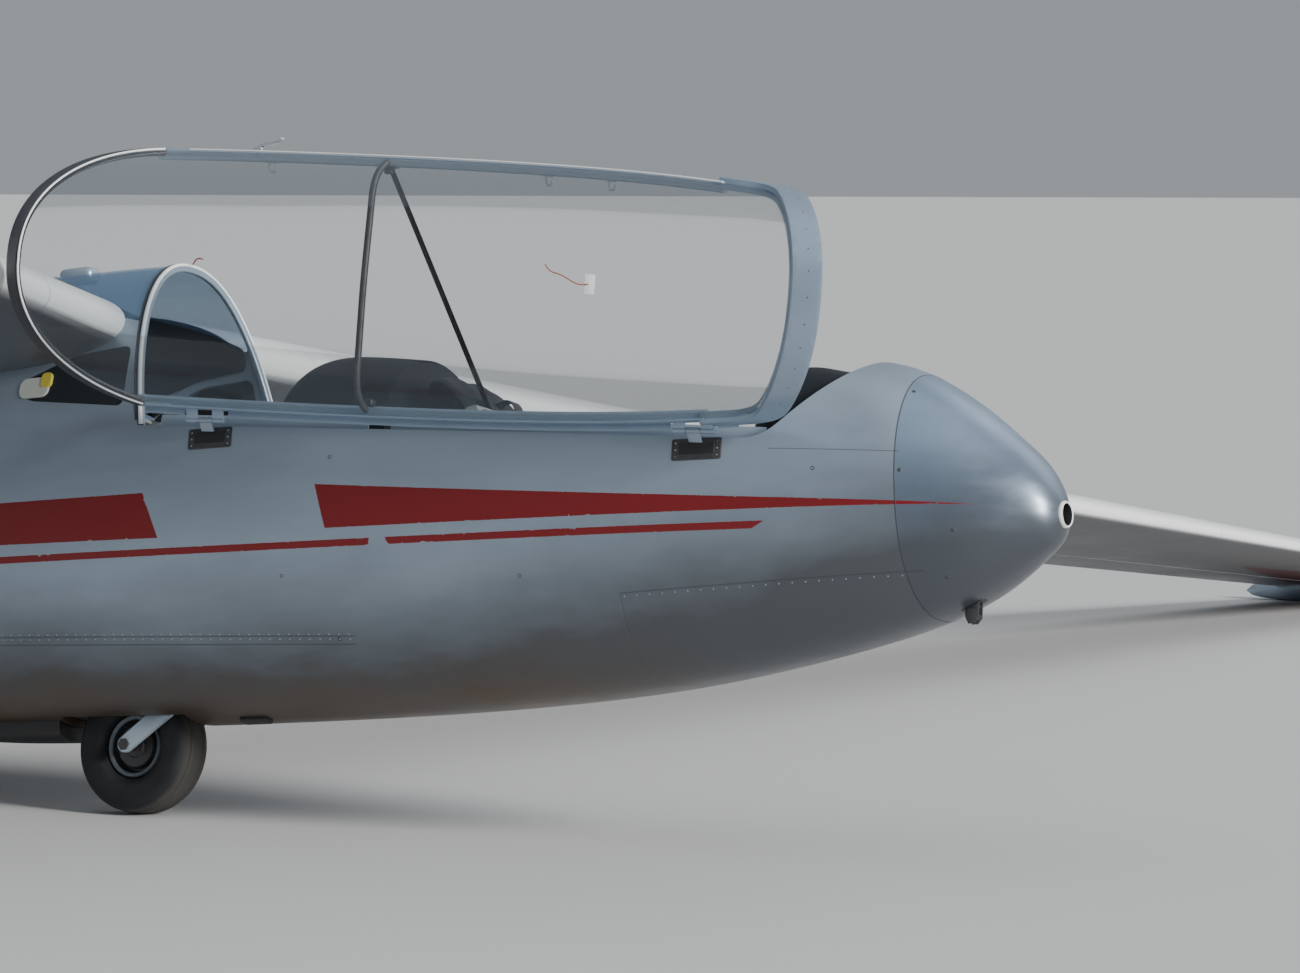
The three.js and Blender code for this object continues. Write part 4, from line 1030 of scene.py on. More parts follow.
def tip_body(steps=40):
    middle = wing_point(WING_TIP_Y, 0.46, 0)
    at = np.array((middle[0], WING_TIP_Y - TIP_BODY["drop"], middle[2] - TIP_BODY["drop"]))
    rings = []
    for k in range(steps + 1):
        part = k / steps
        radius = TIP_BODY["radius"] * math.sqrt(max(0.0, math.sin(math.pi * (1 - part) ** 1.25)))
        radius = max(radius, 0.5) if 0 < k < steps else 0.5
        rings.append([at + ((part * 2 - 1) * TIP_BODY["half"], radius * math.cos(a), radius * math.sin(a))
                      for a in np.linspace(0, 2 * math.pi, 36, endpoint=False)])
    return carve(loft(rings), wing_solid(TOUCH))


both_sides("wing_skin", port_wing, wing_white, "wing")
both_sides("aileron_skin", port_aileron, wing_white, "aileron", "aileron_{}")
for upper, level in ((True, "upper"), (False, "lower")):
    both_sides(f"airbrake_plate_{level}",
               lambda: bevel(brake_box(upper, 0, 0, -BRAKE["recess"], BRAKE["high"]), 1.5),
               red_paint, f"airbrake_{level}", "airbrake_" + level + "_{}")
both_sides("tip_body", tip_body, silver_plain, "wing_tip_body")

# Tail

TAIL = {"x": -5100, "z": 402, "long": 114.3, "half": 48.3, "high": 514.3}
FIN_RINGS = [
    # height, leading edge, trailing edge, thickness
    (500, -4392, -5735, 0.095), (2160, -5010, -5805, 0.1),
]
FIN_HINGE = ((-5268, 0, 500), (-5470, 0, 2160))
TAILPLANE_Z = 2172
TAILPLANE_HINGE = -5424
TAILPLANE = [
    # station across, leading edge, chord, thickness
    (-1650, -4990, 662, 0.1), (0, -4862, 948, 0.1), (1650, -4990, 662, 0.1),
]


def between(rings):
    """A solid through the rings and more, evenly between those given."""
    made = []
    for a, b in zip(rings, rings[1:]):
        made += [np.asarray(a) * (1 - t) + np.asarray(b) * t
                 for t in np.linspace(0, 1, 6, endpoint=False)]
    return loft(made + [np.asarray(rings[-1])])


def fin_solid():
    return between([[(lead + t * (trail - lead), u * (lead - trail), z) for t, u in aerofoil(thick, 0)]
                    for z, lead, trail, thick in FIN_RINGS])


def tailplane_solid(swell=0.0):
    return between([[(lead - t * chord, y, TAILPLANE_Z + u * chord)
                     for t, u in aerofoil(thick, 0, swell / chord)]
                    for y, lead, chord, thick in TAILPLANE])


rudder, fin, rudder_slot = split_flap(fin_solid, *FIN_HINGE, 50, (8, 1564), (-400, 2400), (480, 1340))
elevator, tailplane, _ = split_flap(
    tailplane_solid, (TAILPLANE_HINGE, -1800, TAILPLANE_Z), (TAILPLANE_HINGE, 1800, TAILPLANE_Z),
    40, (0, 3600), (-200, 3800), (1060, 2540))
place("tailplane_skin", tailplane, white_paint, "tailplane")
carve(fin, hull(-3000, -5460, -TOUCH), tailplane_solid(TOUCH),
      block(-9000, TAILPLANE_HINGE + 70, -3000, 3000, 2060, 3000))
place("fin_skin", fin, silver_plain, "fin")
place("rudder_skin", rudder, silver_plain, "rudder", body="rudder")
notch_half = ((TAILPLANE_HINGE + 60, 64), (-6000, 322), (-6000, -322), (TAILPLANE_HINGE + 60, -64))
carve(elevator, loft([[(x, y, z) for x, y in notch_half] for z in (-3000, 3000)]))
weld(elevator, rod(16, -200, 200, TAILPLANE_HINGE, TAILPLANE_Z, 24))
place("elevator_skin", elevator, white_paint, "elevator", body="elevator")
aft = carve(hull(FRAME_JOINT - TOUCH / 2, -5460), rudder_slot(),
            block(TAIL["x"] - TAIL["long"], TAIL["x"] + TAIL["long"], -TAIL["half"], TAIL["half"],
                  -3000, TAIL["high"]))
place("aft_skin", aft, silver_hull, "fuselage_aft")

# Panes, and the hoop behind the cockpit


def grown(outline, middle, by):
    """An outline moved outwards from its middle."""
    points = np.asarray(outline, float) - middle
    length = np.linalg.norm(points, axis=1, keepdims=True)
    return points * (length + by) / length + middle


def pane_zone(rear, zone):
    return keep(hull_shell(260, rear, PANE_DEPTH, PANE, 22), zone)


both_sides("side_pane", lambda: pane_zone(-300, prism(grown(window_outline, WINDOW_MIDDLE, -1), 0)),
           window_glass, "side_window")
place("rear_pane", pane_zone(-400, rear_pane_zone(0.5)), top_glass, "rear_top_pane")


def across(offset, inset, low, count=90):
    """A path over the airframe beside the hoop, from sill to sill, with the skin's normals."""
    x = hoop_x(SILL_REAR[1] + low) + offset
    start = side_angle(x, sill_z(x) + low)
    path, ups = [], []
    for angle in np.linspace(start, math.pi - start, count):
        for _ in range(6):
            x = hoop_x(on_hull(x, angle)[2]) + offset
        path.append(on_hull(x, angle, inset))
        ups.append(hull_normal(x, angle))
    return path, ups


def along_sill(front, rear, low, inset, side, count=60):
    """A path beside the sill, with the skin's normals."""
    xs = np.linspace(rear, front, count)
    return ([on_side(x, sill_z(x) + low, side, inset) for x in xs],
            [skin_point(x, sill_z(x) + low, side)[1] for x in xs])


place("rear_hoop", sweep(*across(-HOOP_THICK / 2, 10.5, 4), rounded_box(15, 20, 6)), silver_plain,
      "canopy_rear_hoop")
place("rear_hoop_piping", sweep(*across(-5, 1.5, 4), rounded_box(9, 9, 3)), white_trim)
place("rear_hoop_seal", sweep(*across(-HOOP_THICK - 3, 1.0, 14), rounded_box(7, 6, 2.5)), seal_rubber)

# Canopy, made shut and placed open

CANOPY = {"rail": 30, "strip": 18, "arch": 38, "deep": 20, "lip": 39, "lip_thick": 3}
BRACE_X = 902
BRACE_HIGH = 66
RAIL_DEEP = 30
GLASS_NODES = [f"canopy_glass_{end}_{side}" for end in ("rear", "front")
               for side in ("port", "crown", "starboard")]


def glass_zone(margin):
    return opening(*(CLEAR + CANOPY[part] + margin for part in ("rail", "strip", "arch")))


on_canopy("canopy_pane", keep(hull_shell(2290, -100, PANE_DEPTH, PANE), glass_zone(0.4)), glass,
          *GLASS_NODES)
rail_rear = hoop_x(SILL_REAR[1]) + CLEAR + 6
for side, word in SIDE_NAMES:
    rail = sweep(*along_sill(1876, rail_rear, CLEAR + CANOPY["rail"] / 2, RAIL_DEEP / 2, side),
                 rounded_box(28, RAIL_DEEP, 10, 6))
    on_canopy(f"canopy_rail_{word}", rail, silver_painted_sky)
lip_sheet = keep(hull_shell(2330, 1500, -CLEAR - CANOPY["lip_thick"], CANOPY["lip_thick"]),
                 opening(CLEAR, -CANOPY["lip"], CLEAR, CORNER + 30))
band = keep(hull_shell(2330, 1500, -CLEAR + 0.1, CLEAR + CANOPY["deep"]), opening(CLEAR, CLEAR, CLEAR))
for part in (lip_sheet, band):
    carve(part, glass_zone(0), block(-3000, 1868, -3000, 3000, -3000, 3000))
strip = join([bevel(lip_sheet, 1.2), bevel(band, 2)])
on_canopy("canopy_front_strip", strip, silver_painted_sky, "canopy_frame")
arch = sweep(*across(CLEAR + CANOPY["arch"] / 2, 10, CLEAR + 7), rounded_box(CANOPY["arch"], 20, 8, 5))
on_canopy("canopy_arch", arch, seal_rubber, "canopy_rear_arch")
arch_line = sweep(*across(CLEAR + CANOPY["arch"] + 2.5, 1.5, CLEAR + 34), rounded_box(5, 5, 2))
on_canopy("canopy_arch_line", arch_line, white_trim)
brace_z = sill_z(BRACE_X)
brace = tube([(BRACE_X + ahead, y, brace_z + up) for ahead, y, up in (
    (10, -318, 26), (6, -306, 40), (2, -272, 62), (0, -200, BRACE_HIGH + 4), (0, 0, BRACE_HIGH + 8),
    (0, 200, BRACE_HIGH + 4), (2, 272, 62), (6, 306, 40), (10, 318, 26))], 9, 60, 16, (1, 0, 0))
on_canopy("canopy_brace_tube", brace, dark_metal, "canopy_brace")

# Wheels and gear

MAIN = {"radius": 175, "half": 66, "rim": 84, "bore": 12.6}
TAIL_WHEEL_SIZE = {"radius": 100, "half": 34, "rim": 46, "bore": 8.5}
TREAD = {"deep": 4.6, "wide": 3.6, "swell": 0.62}
FORK = {"pivot": (172, 118), "arm": 14, "y": 82, "wide": 21, "bar": 24.7}


def tyre(size, grooves, steps=48):
    """A tyre's section with grooves round its tread."""
    middle = (size["radius"] + size["rim"]) / 2
    deep = (size["radius"] - size["rim"]) / 2

    def swell(value):
        return math.copysign(abs(value) ** TREAD["swell"], value)

    profile = []
    for k in range(steps * 2):
        angle = k / steps * math.pi
        radius = middle + deep * swell(math.cos(angle))
        across = size["half"] * swell(math.sin(angle))
        if math.cos(angle) > 0.5:
            for groove in grooves:
                radius -= TREAD["deep"] * max(0.0, 1 - (abs(across - groove) / TREAD["wide"]) ** 2)
        profile.append((radius - 0.2, across))
    return profile


def wheel_rim(size, at, hole_radius, on_radius, holes):
    """A dished disc with a ring of holes."""
    rim, half, bore = size["rim"] - 1.2, size["half"], size["bore"]
    flange = half * 0.55
    one = [(bore, -half * 0.62), (bore * 2.1, -half * 0.62), (bore * 2.4, -half * 0.55),
           (bore * 2.6, -half * 0.27), (rim - 18, -half * 0.22), (rim - 11, -half * 0.34),
           (rim - 8, -flange + 2), (rim - 5, -flange), (rim, -flange)]
    made = lathe(one + [(r, -y) for r, y in reversed(one)], 72, at)
    for k in range(holes):
        angle = (k + 0.5) / holes * 2 * math.pi
        carve(made, rod(hole_radius, -80, 80, at[0] + on_radius * math.cos(angle),
                        at[2] + on_radius * math.sin(angle), 24))
    return made


tail_at = (TAIL["x"], 0, TAIL["z"])
place("main_wheel_tyre", lathe(tyre(MAIN, (-26, -9, 9, 26)), 96), tyre_rubber, "main_tyre",
      body="main_wheel")
place("tail_wheel_tyre", lathe(tyre(TAIL_WHEEL_SIZE, (-10, 10), 30), 64, tail_at), tyre_rubber,
      "tail_tyre", body="tail_wheel")
place("main_wheel_rim", wheel_rim(MAIN, (0, 0, 0), 8, 50, 6), dark_metal, "main_wheel_disc",
      body="main_wheel")
place("tail_wheel_rim", wheel_rim(TAIL_WHEEL_SIZE, tail_at, 4, 29, 5), pale_gear, "tail_wheel_disc",
      body="tail_wheel")


def fork_arm(y):
    px, pz = FORK["pivot"]
    slope = math.atan2(pz, px)
    outline = []
    for x, z, radius, start in ((0, 0, FORK["wide"], slope + math.pi / 2),
                                (px, pz, FORK["bar"], slope - math.pi / 2)):
        outline += [(x + radius * math.cos(start + k / 16 * math.pi),
                     z + radius * math.sin(start + k / 16 * math.pi)) for k in range(17)]
    return prism(outline, y - FORK["arm"] / 2, y + FORK["arm"] / 2)


fork = weld(fork_arm(FORK["y"]), fork_arm(-FORK["y"]),
            rod(FORK["bar"], -FORK["y"], FORK["y"], *FORK["pivot"]))
carve(fork, rod(MAIN["bore"] - 0.2, -300, 300))
place("main_fork", bevel(fork, 2.5, 3), pale_gear, "main_gear_fork")

# The main axle, with a hexagonal nut at each end
AXLE = {"radius": 12, "half": FORK["y"] + FORK["arm"] / 2 + 6, "nut": 10}
nuts = [rod(AXLE["radius"] * 1.4, *sorted((side * (AXLE["half"] - AXLE["nut"] * 0.5), side * AXLE["half"])),
            0, 0, 6) for side in (-1, 1)]
axle = weld(rod(AXLE["radius"], -AXLE["half"], AXLE["half"], 0, 0), *nuts)
place("main_wheel_axle", bevel(axle, 0.8), dark_metal, "main_axle")

# Small things on the skin


def studs(places, profile, sides):
    """Round heads turned from a profile of (radius, height), one at each (point, normal)."""
    verts, faces = [], []
    last = (len(profile) - 1) * sides
    for point, normal in places:
        origin, along, across, out = axes_at(point, normal, (1, 0, 0.01))
        base = len(verts)
        for radius, height in profile:
            for k in range(sides):
                a = k / sides * 2 * math.pi
                verts.append(origin + along * radius * math.cos(a) + across * radius * math.sin(a)
                             + out * height)
        faces += [[base + k for k in face] for face in quads(len(profile), sides)]
        faces += [[base + k for k in range(sides)][::-1], [base + last + k for k in range(sides)]]
    return build(verts, faces, 40)


RIVET = [(2.1, -1.5), (2.1, 0.1), (1.6, 0.45), (0.8, 0.7)]
SCREW = [(4.6, -2), (4.6, 0.7), (3.9, 1.3), (1.6, 1.3), (1.4, 0.5)]
BORE = [(5.0, -2), (5.0, 0.35), (3.8, 0.35), (3.4, -0.3)]
HOLES = ((640, 381), (783, 219), (790, 675), (2148, 567), (1338, 345))
NOSE_SCREWS = ((2358, 760), (2365, 554), (2487, 406), (2450, 300))
RIVET_ROWS = [
    # station, height, station, height, pitch
    (-600, 294, 814, 229, 30), (-600, 282, 814, 217, 30), (812, 638, 1044, 634, 30),
    (2047, 612, 2330, 596, 34), (1622, 282, 2350, 304, 34), (-620, 430, -620, 1180, 34),
    (-660, 430, -660, 1180, 34), (-4100, 496, -700, 302, 60), (-4100, 800, -700, 1000, 60),
    (-230, 840, 110, 826, 32),
]
for side, word in SIDE_NAMES:
    rivets = []
    for x0, z0, x1, z1, pitch in RIVET_ROWS:
        count = max(2, int(math.hypot(x1 - x0, z1 - z0) / pitch) + 1)
        rivets += zip(np.linspace(x0, x1, count), np.linspace(z0, z1, count))
    for name, points, profile, sides, material in (
            ("skin_rivets", rivets, RIVET, 8, silver_plain), ("skin_holes", HOLES, BORE, 16, black_enamel),
            ("nose_screws", NOSE_SCREWS, SCREW, 14, dark_metal)):
        heads = studs([skin_point(x, z, side) for x, z in points], profile, sides)
        place(f"{name}_{word}", heads, material)

# The nose cone's seam: a thin dark lip on the cone's rear edge, and behind it a black band, painted shade
# of the seam's groove
seam_path, seam_ups, groove = [], [], []
for angle in np.linspace(0, 2 * math.pi, 120, endpoint=False):
    x = 2310.0
    for _ in range(8):
        x = seam_x(on_hull(x, angle)[2]) + 2.2
    seam_path.append(on_hull(x, angle, 0.6))
    seam_ups.append(hull_normal(x, angle))
    groove.append(seam_path[-1] - (3.4, 0, 0) + seam_ups[-1] * 0.15)
place("nose_seam_lip", sweep(seam_path, seam_ups, rounded_box(2.2, 2.4, 0.8, 2), closed=True), dark_metal)
place("nose_seam_gap", sweep(groove, seam_ups, rounded_box(3.2, 1.6, 0.6, 2), closed=True), seal_rubber)


def patch(x, z, long, high, thick, side, radius=6):
    """A thin plate with round corners, lying on the skin."""
    origin, along, up, out = axes_at(*skin_point(x, z, side))
    return loft([[origin + along * u + up * v + out * level
                  for u, v in rounded_box(long - 2 * shrink, high - 2 * shrink, radius)]
                 for level, shrink in ((-3.0, 0), (thick * 0.6, 0), (thick, 1.0))])


# Hinges: on the skin a dark leaf with screws, and a barrel between the canopy's two
HINGE_BARREL = 8
LEAF_DROP = 32
LEAF_ARM = ((0, 0, -4), (0, 5, -14), (0, 15, -26))
CANOPY_ARM = ((0, 3, 4), (0, 20, 7), (0, 36, 7))
hinge_turn = hinge_axis.to_track_quat("X", "Z").to_matrix().to_4x4()
for word, knuckle in (("rear", HINGE_REAR), ("front", HINGE_FRONT)):
    x = knuckle[0]
    z = sill_z(x) - LEAF_DROP
    place(f"hinge_leaf_{word}", patch(x, z, 134, 54, 1.8, -1), dark_metal)
    place(f"hinge_slot_{word}", patch(x, z + 2, 96, 30, 2.4, -1, radius=4), black_enamel)
    barrels = []
    for start, end, arm_path in ((-20, 20, LEAF_ARM), (-58, -21, CANOPY_ARM), (21, 58, CANOPY_ARM)):
        barrel = lathe([(0, start), (HINGE_BARREL - 1, start), (HINGE_BARREL, start + 1),
                        (HINGE_BARREL, end - 1), (HINGE_BARREL - 1, end), (0, end)], 24, (0, 0, 0), "X")
        arm = sweep(arm_path, [(1, 0, 0)] * 3, rounded_box(5, end - start - 2, 2, 2))
        arm.data.transform(Matrix.Translation(((start + end) / 2 * MM, 0, 0)))
        whole = join([barrel, arm])
        whole.data.transform(Matrix.Translation(Vector(knuckle) * MM) @ hinge_turn)
        barrels.append(whole)
    place(f"hinge_{word}", barrels[0], silver_plain, f"canopy_hinge_{word}")
    on_canopy(f"hinge_arms_{word}", join(barrels[1:]), silver_painted_sky)
    normal = skin_point(x, z, -1)[1]
    heads = [(on_side(x + dx, z + dz, -1) + normal * 1.8, normal)
             for dx in (-56, 56) for dz in (-17, 0, 17)]
    place(f"hinge_screws_{word}", studs(heads, RIVET, 12), pale_metal)

# Lip along the canopy's hinge side, left out at the hinges
lips = [sweep(*along_sill(front, rear, CLEAR + 2.5, -7, -1, 40), rounded_box(4, 17, 1.5, 3))
        for front, rear in ((HINGE_REAR[0] - 66, 232), (HINGE_FRONT[0] - 66, HINGE_REAR[0] + 66),
                            (1960, HINGE_FRONT[0] + 66))]
on_canopy("canopy_hinge_lip", join(lips), silver_painted_sky)

# Coaming inside the hinge side's sill, lower where the canopy's brace comes down
COAMING = {"low": -6, "high": 44, "notch": 4, "inset": 36, "thick": 4}
coaming = []
for front, rear, high in ((2002, BRACE_X + 44, COAMING["high"]),
                          (BRACE_X + 44, BRACE_X - 24, COAMING["notch"]),
                          (BRACE_X - 24, 236, COAMING["high"])):
    tall = high - COAMING["low"]
    coaming.append(sweep(*along_sill(front, rear, COAMING["low"] + tall / 2, COAMING["inset"], -1),
                         rounded_box(tall, COAMING["thick"], 1.5, 3)))
place("coaming_starboard", join(coaming), silver_plain)

# Canopy seals and fittings, made shut
for side, word in SIDE_NAMES:
    line = sweep(*along_sill(1880, 320, CLEAR + CANOPY["rail"] + 2.5, 1.2, side), rounded_box(7, 4.5, 2, 3))
    on_canopy(f"canopy_seal_{word}", line, white_trim if side > 0 else silver_painted_sky)
    screws = [skin_point(x, sill_z(x) + 20, side) for x in np.arange(330, 1880, 118)]
    on_canopy(f"canopy_rail_screws_{word}", studs(screws, SCREW, 12), grey_metal)


def over_front(margin, inset, low, count):
    """Points and normals across the canopy's front, from sill to sill."""
    def front_x(z):
        return SILL_FRONT[0] - margin * math.hypot(1, 1 / NOSE_SLOPE) + (z - SILL_FRONT[1]) / NOSE_SLOPE

    made = []
    x = front_x(SILL_FRONT[1] + low)
    start = side_angle(x, SILL_FRONT[1] + low)
    for angle in np.linspace(start, math.pi - start, count):
        for _ in range(12):
            x = 0.5 * x + 0.5 * front_x(on_hull(x, angle)[2])
        made.append((on_hull(x, angle, inset), hull_normal(x, angle)))
    return made


on_canopy("canopy_strip_screws", studs(over_front(-16, -9.0, 40, 13), RIVET, 10), dark_metal)


def local_box(axes, sizes, centre, radius):
    """A box with round edges on axes of its own: their origin, then their directions."""
    origin, *axes = [np.asarray(axis, float) for axis in axes]
    middle = origin + sum(c * axis for c, axis in zip(centre, axes))
    a, b, c = [size / 2 for size in sizes]
    return bevel(loft([[middle + axes[0] * u * a + axes[1] * v * b + axes[2] * w * c
                        for u, v in ((-1, -1), (1, -1), (1, 1), (-1, 1))] for w in (-1, 1)]), radius, 3)


def rail_axes(x, side=1):
    return axes_at(on_side(x, sill_z(x) + CLEAR + 15, side), skin_point(x, sill_z(x) + 20, side)[1])


def fitting(x, foot, points, profile, smooth=40):
    """A foot on the port rail, and a part swept from it along (along, out) points."""
    axes = rail_axes(x)
    origin, along, up, out = axes
    return join([local_box(axes, *foot), sweep([origin + along * s + out * h for s, h in points],
                                               [up] * len(points), profile, smooth)])


lever = fitting(520, ((26, 20, 12), (0, 0, 3), 2),
                ((-2, 6), (8, 14), (22, 17), (44, 20), (64, 25), (72, 33)), rounded_box(7, 15, 3, 3))
on_canopy("canopy_lever", lever, pale_metal)
for number, x in enumerate((560, 1380, 1560)):
    hook = fitting(x, ((34, 16, 4), (0, 0, -RAIL_DEEP - 1), 1),
                   ((-10, -30), (-10, -44), (-5, -53), (5, -53), (10, -45), (8, -38)), circle(3.2, 10), 60)
    on_canopy(f"canopy_bracket_{number + 1}", hook, pale_metal)
for side, word in SIDE_NAMES:
    axes = rail_axes(BRACE_X + 10, side)
    foot = join([local_box(axes, (46, 24, 3.5), (0, 0, -RAIL_DEEP - 1), 1.2),
                 local_box(axes, (24, 22, 18), (0, 0, -RAIL_DEEP - 9), 5)])
    on_canopy(f"brace_foot_{word}", foot, dark_metal)


def yarn(name, points, radius, count, body, matrix):
    """A short length of wool with one loose end."""
    piece = place(name, tube(points, radius, count, 8), red_yarn, body=body, matrix=matrix)
    route = [tuple(matrix @ Vector(point * MM)) for point in smooth_path(points, count)]


# Yaw string, taped to the crown, and a length of yarn on the hoop
CROWN = math.pi / 2
on_canopy("yaw_tape", local_box(hull_axes(1735, CROWN), (26, 48, 1.0), (0, 0, 0.4), 0.3), white_trim)
yarn("yaw_string", [on_hull(1733 - s, CROWN + turn, -2.2) for s, turn in (
    (0, 0), (16, 0.004), (36, -0.004), (58, -0.03), (80, -0.05), (98, -0.065), (112, -0.105))],
    1.5, 30, "canopy", OPEN)
hoop_top = on_hull(hoop_x(1287) - 8, CROWN)
yarn("hoop_yarn", [hoop_top + np.array(p, float) for p in (
    (-10, 20, 0), (2, 0, 3), (14, -10, 8), (30, -20, 14), (44, -26, 13), (58, -34, 8))],
    2.0, 24, "airframe", AIR)

# Tow hook: a black sheet on the nose as painted shade of its opening, two cheeks, the hook and its pins
HOOK = {"x": 2456, "z": 242, "drop": 38}


def hook_points(*points):
    return [(HOOK["x"] + x, HOOK["z"] + z) for x, z in points]


cheek = hook_points((-26, 20), (-24, -22), (-16, -HOOK["drop"]), (0, -HOOK["drop"]), (12, -24), (14, 30))
beak = sweep([(x, 0, z) for x, z in hook_points((-18, 10), (-16, -8), (-8, -22), (4, -26), (12, -20))],
             [(0, 1, 0)] * 5, rounded_box(7, 12, 2, 2))
pins = [rod(3, -14, 14, x, z, 16) for x, z in hook_points((-14, -4), (4, 4))]
place("tow_hook_parts", join([*(bevel(prism(cheek, y, y + 3), 0.8) for y in (-12, 9)), beak, *pins]),
      dark_metal, "tow_hook")
# A black sheet through the skin in the opening's outline: painted shade of the recess.
mouth_outline = rounded([(HOOK["x"] - 34, -17), (HOOK["x"] + 26, -17), (HOOK["x"] + 26, 17),
                         (HOOK["x"] - 34, 17)], 8, 4)
mouth = carve(loft([[(x, y, z) for x, y in mouth_outline] for z in (120, 300)]), hull(2600, 2200, 2.0, 12))
place("tow_hook_recess", keep(mouth, hull(2600, 2200, -1.2, 12)), black_enamel)
place("belly_drain", local_box(hull_axes(392, -CROWN - 0.12), (84, 40, 16), (0, 0, 2), 6), black_enamel)
place("spine_cover", local_box(hull_axes(-260, CROWN), (106, 60, 44), (0, 0, 0), 16), silver_plain)
place("root_plug", patch(-166, 928, 96, 56, 3, -1, radius=22), plug_pale)
place("root_plug_tab", patch(-128, 946, 34, 42, 5, -1, radius=12), plug_yellow)

# Cockpit

FLOOR_TOP = 142 + TOUCH
LINING = {"deep": 7, "from": 250, "to": 1900, "low": 230, "high": 24}
PANEL = {"front": (1992, 440), "rear": (600, 520)}
BOARD = 6
HOOD_FOOT = 60
HOOD_THICK = 14
HOOD_ROUND = 0.7
HOOD = {
    # station, half width, top
    "front": [(1940, 206, 806), (1962, 228, 842), (1992, 238, 862), (2080, 232, 856), (2218, 206, 828)],
    "rear": [(494, 160, 858), (522, 206, 918), (560, 236, 962), (600, 250, 984), (730, 252, 990),
             (884, 238, 970)],
}
DIALS = {
    # end: (across, height, radius, pointer)
    "front": [(-86, 752, 38, 70), (0, 768, 30, 200), (86, 752, 38, 120), (-92, 655, 38, 300),
              (0, 668, 38, 90), (92, 655, 30, 30), (0, 580, 26, 250)],
    "rear": [(-90, 858, 38, 60), (0, 872, 38, 150), (90, 858, 38, 320), (-90, 762, 30, 20),
             (0, 776, 38, 240), (90, 762, 30, 80)],
}


def in_cabin(extra=0.0):
    return hull(2400, -900, SKIN + TOUCH + extra)


def hood_solid(rows, low, inset, steps=40):
    """A solid through upright half ovals, from rows of station, half width and top."""
    return loft([[(x, (half - inset) * math.cos(k / steps * math.pi),
                   low + (top - inset - low) * max(0.0, math.sin(k / steps * math.pi)) ** HOOD_ROUND)
                  for k in range(steps + 1)] for x, half, top in rows])


def dial(name, x, y, z, radius, turn):
    """A round instrument facing aft: bezel, dark face, ticks and a pointer."""
    def bar(angle, at, *box):
        out = np.array((0, math.cos(angle), math.sin(angle)))
        made = local_box((out * at, (1, 0, 0), out, np.cross((1, 0, 0), out)), *box, 0.2)
        dress(made, white_trim)
        return made

    bezel = lathe([(radius - 4, 0), (radius + 4, 0), (radius + 4, 4), (radius + 1, 7), (radius - 2, 7),
                   (radius - 4, 3)], 40, (0, 0, 0), "X")
    face = lathe(disc(radius - 4, 0, 1.5), 40, (0, 0, 0), "X")
    for part in (bezel, face):
        dress(part, black_enamel)
    ticks = [bar(math.radians(30 * k), radius - 9, (0.6, 6, 1.6), (1.6, 0, 0)) for k in range(12)]
    hand = bar(math.radians(turn), radius * 0.3, (0.8, radius * 0.8, 2.2), (2.4, 0, 0))
    whole = join([bezel, face, *ticks, hand])
    for vert in whole.data.vertices:
        vert.co = Vector((x * MM - vert.co.x, y * MM + vert.co.y, z * MM + vert.co.z))
    whole.data.flip_normals()
    place(name, whole, None)


for end in ("front", "rear"):
    x, foot = PANEL[end]
    low = sill_z(x) - HOOD_FOOT
    extra = 0 if end == "front" else LINING["deep"] + TOUCH
    rows = smooth_path(HOOD[end], 44)
    overhang = [row for row in rows if row[0] < x]
    under = [(overhang[0][0] - BOARD, *overhang[0][1:]), *overhang[1:], (x + TOUCH, *overhang[-1][1:])]
    cover = carve(hood_solid(rows, low, 0), hood_solid(under, low - 1, HOOD_THICK))
    keep(cover, in_cabin(extra))
    carve(cover, ahead_of_seam(-SKIN - 2))
    place(f"hood_{end}", cover, black_vinyl, f"glare_shield_{end}")
    over_board = next(row for row in HOOD[end] if row[0] == x)
    board = keep(block(x - BOARD, x, -3000, 3000, foot, low - TOUCH), in_cabin(extra))
    weld(board, hood_solid([(at, *over_board[1:]) for at in (x - BOARD, x)], low - 5, HOOD_THICK + BOARD))
    place(f"panel_{end}", bevel(board, 1), black_enamel, f"instrument_panel_{end}")
for end, dials in DIALS.items():
    for number, (y, z, radius, turn) in enumerate(dials):
        dial(f"dial_{end}_{number + 1}", PANEL[end][0] - BOARD - 0.1, y, z, radius, turn)

# Red lining of the side walls
lining_ends = [LINING["from"], LINING["to"]]
LINING_OUTLINE = ([(x, sill_z(x) - LINING["low"]) for x in lining_ends]
                  + [(x, sill_z(x) - LINING["high"]) for x in reversed(lining_ends)])
for side, word in SIDE_NAMES:
    lining = keep(hull_shell(1960, 200, SKIN + TOUCH, LINING["deep"], 24),
                  prism(LINING_OUTLINE, *sorted((0, side * 3000))))
    place(f"lining_{word}", lining, red_cloth, f"side_lining_{word}")


CHANNEL = {"deep": 0.38, "half": 9}
WRINKLE = 0.9


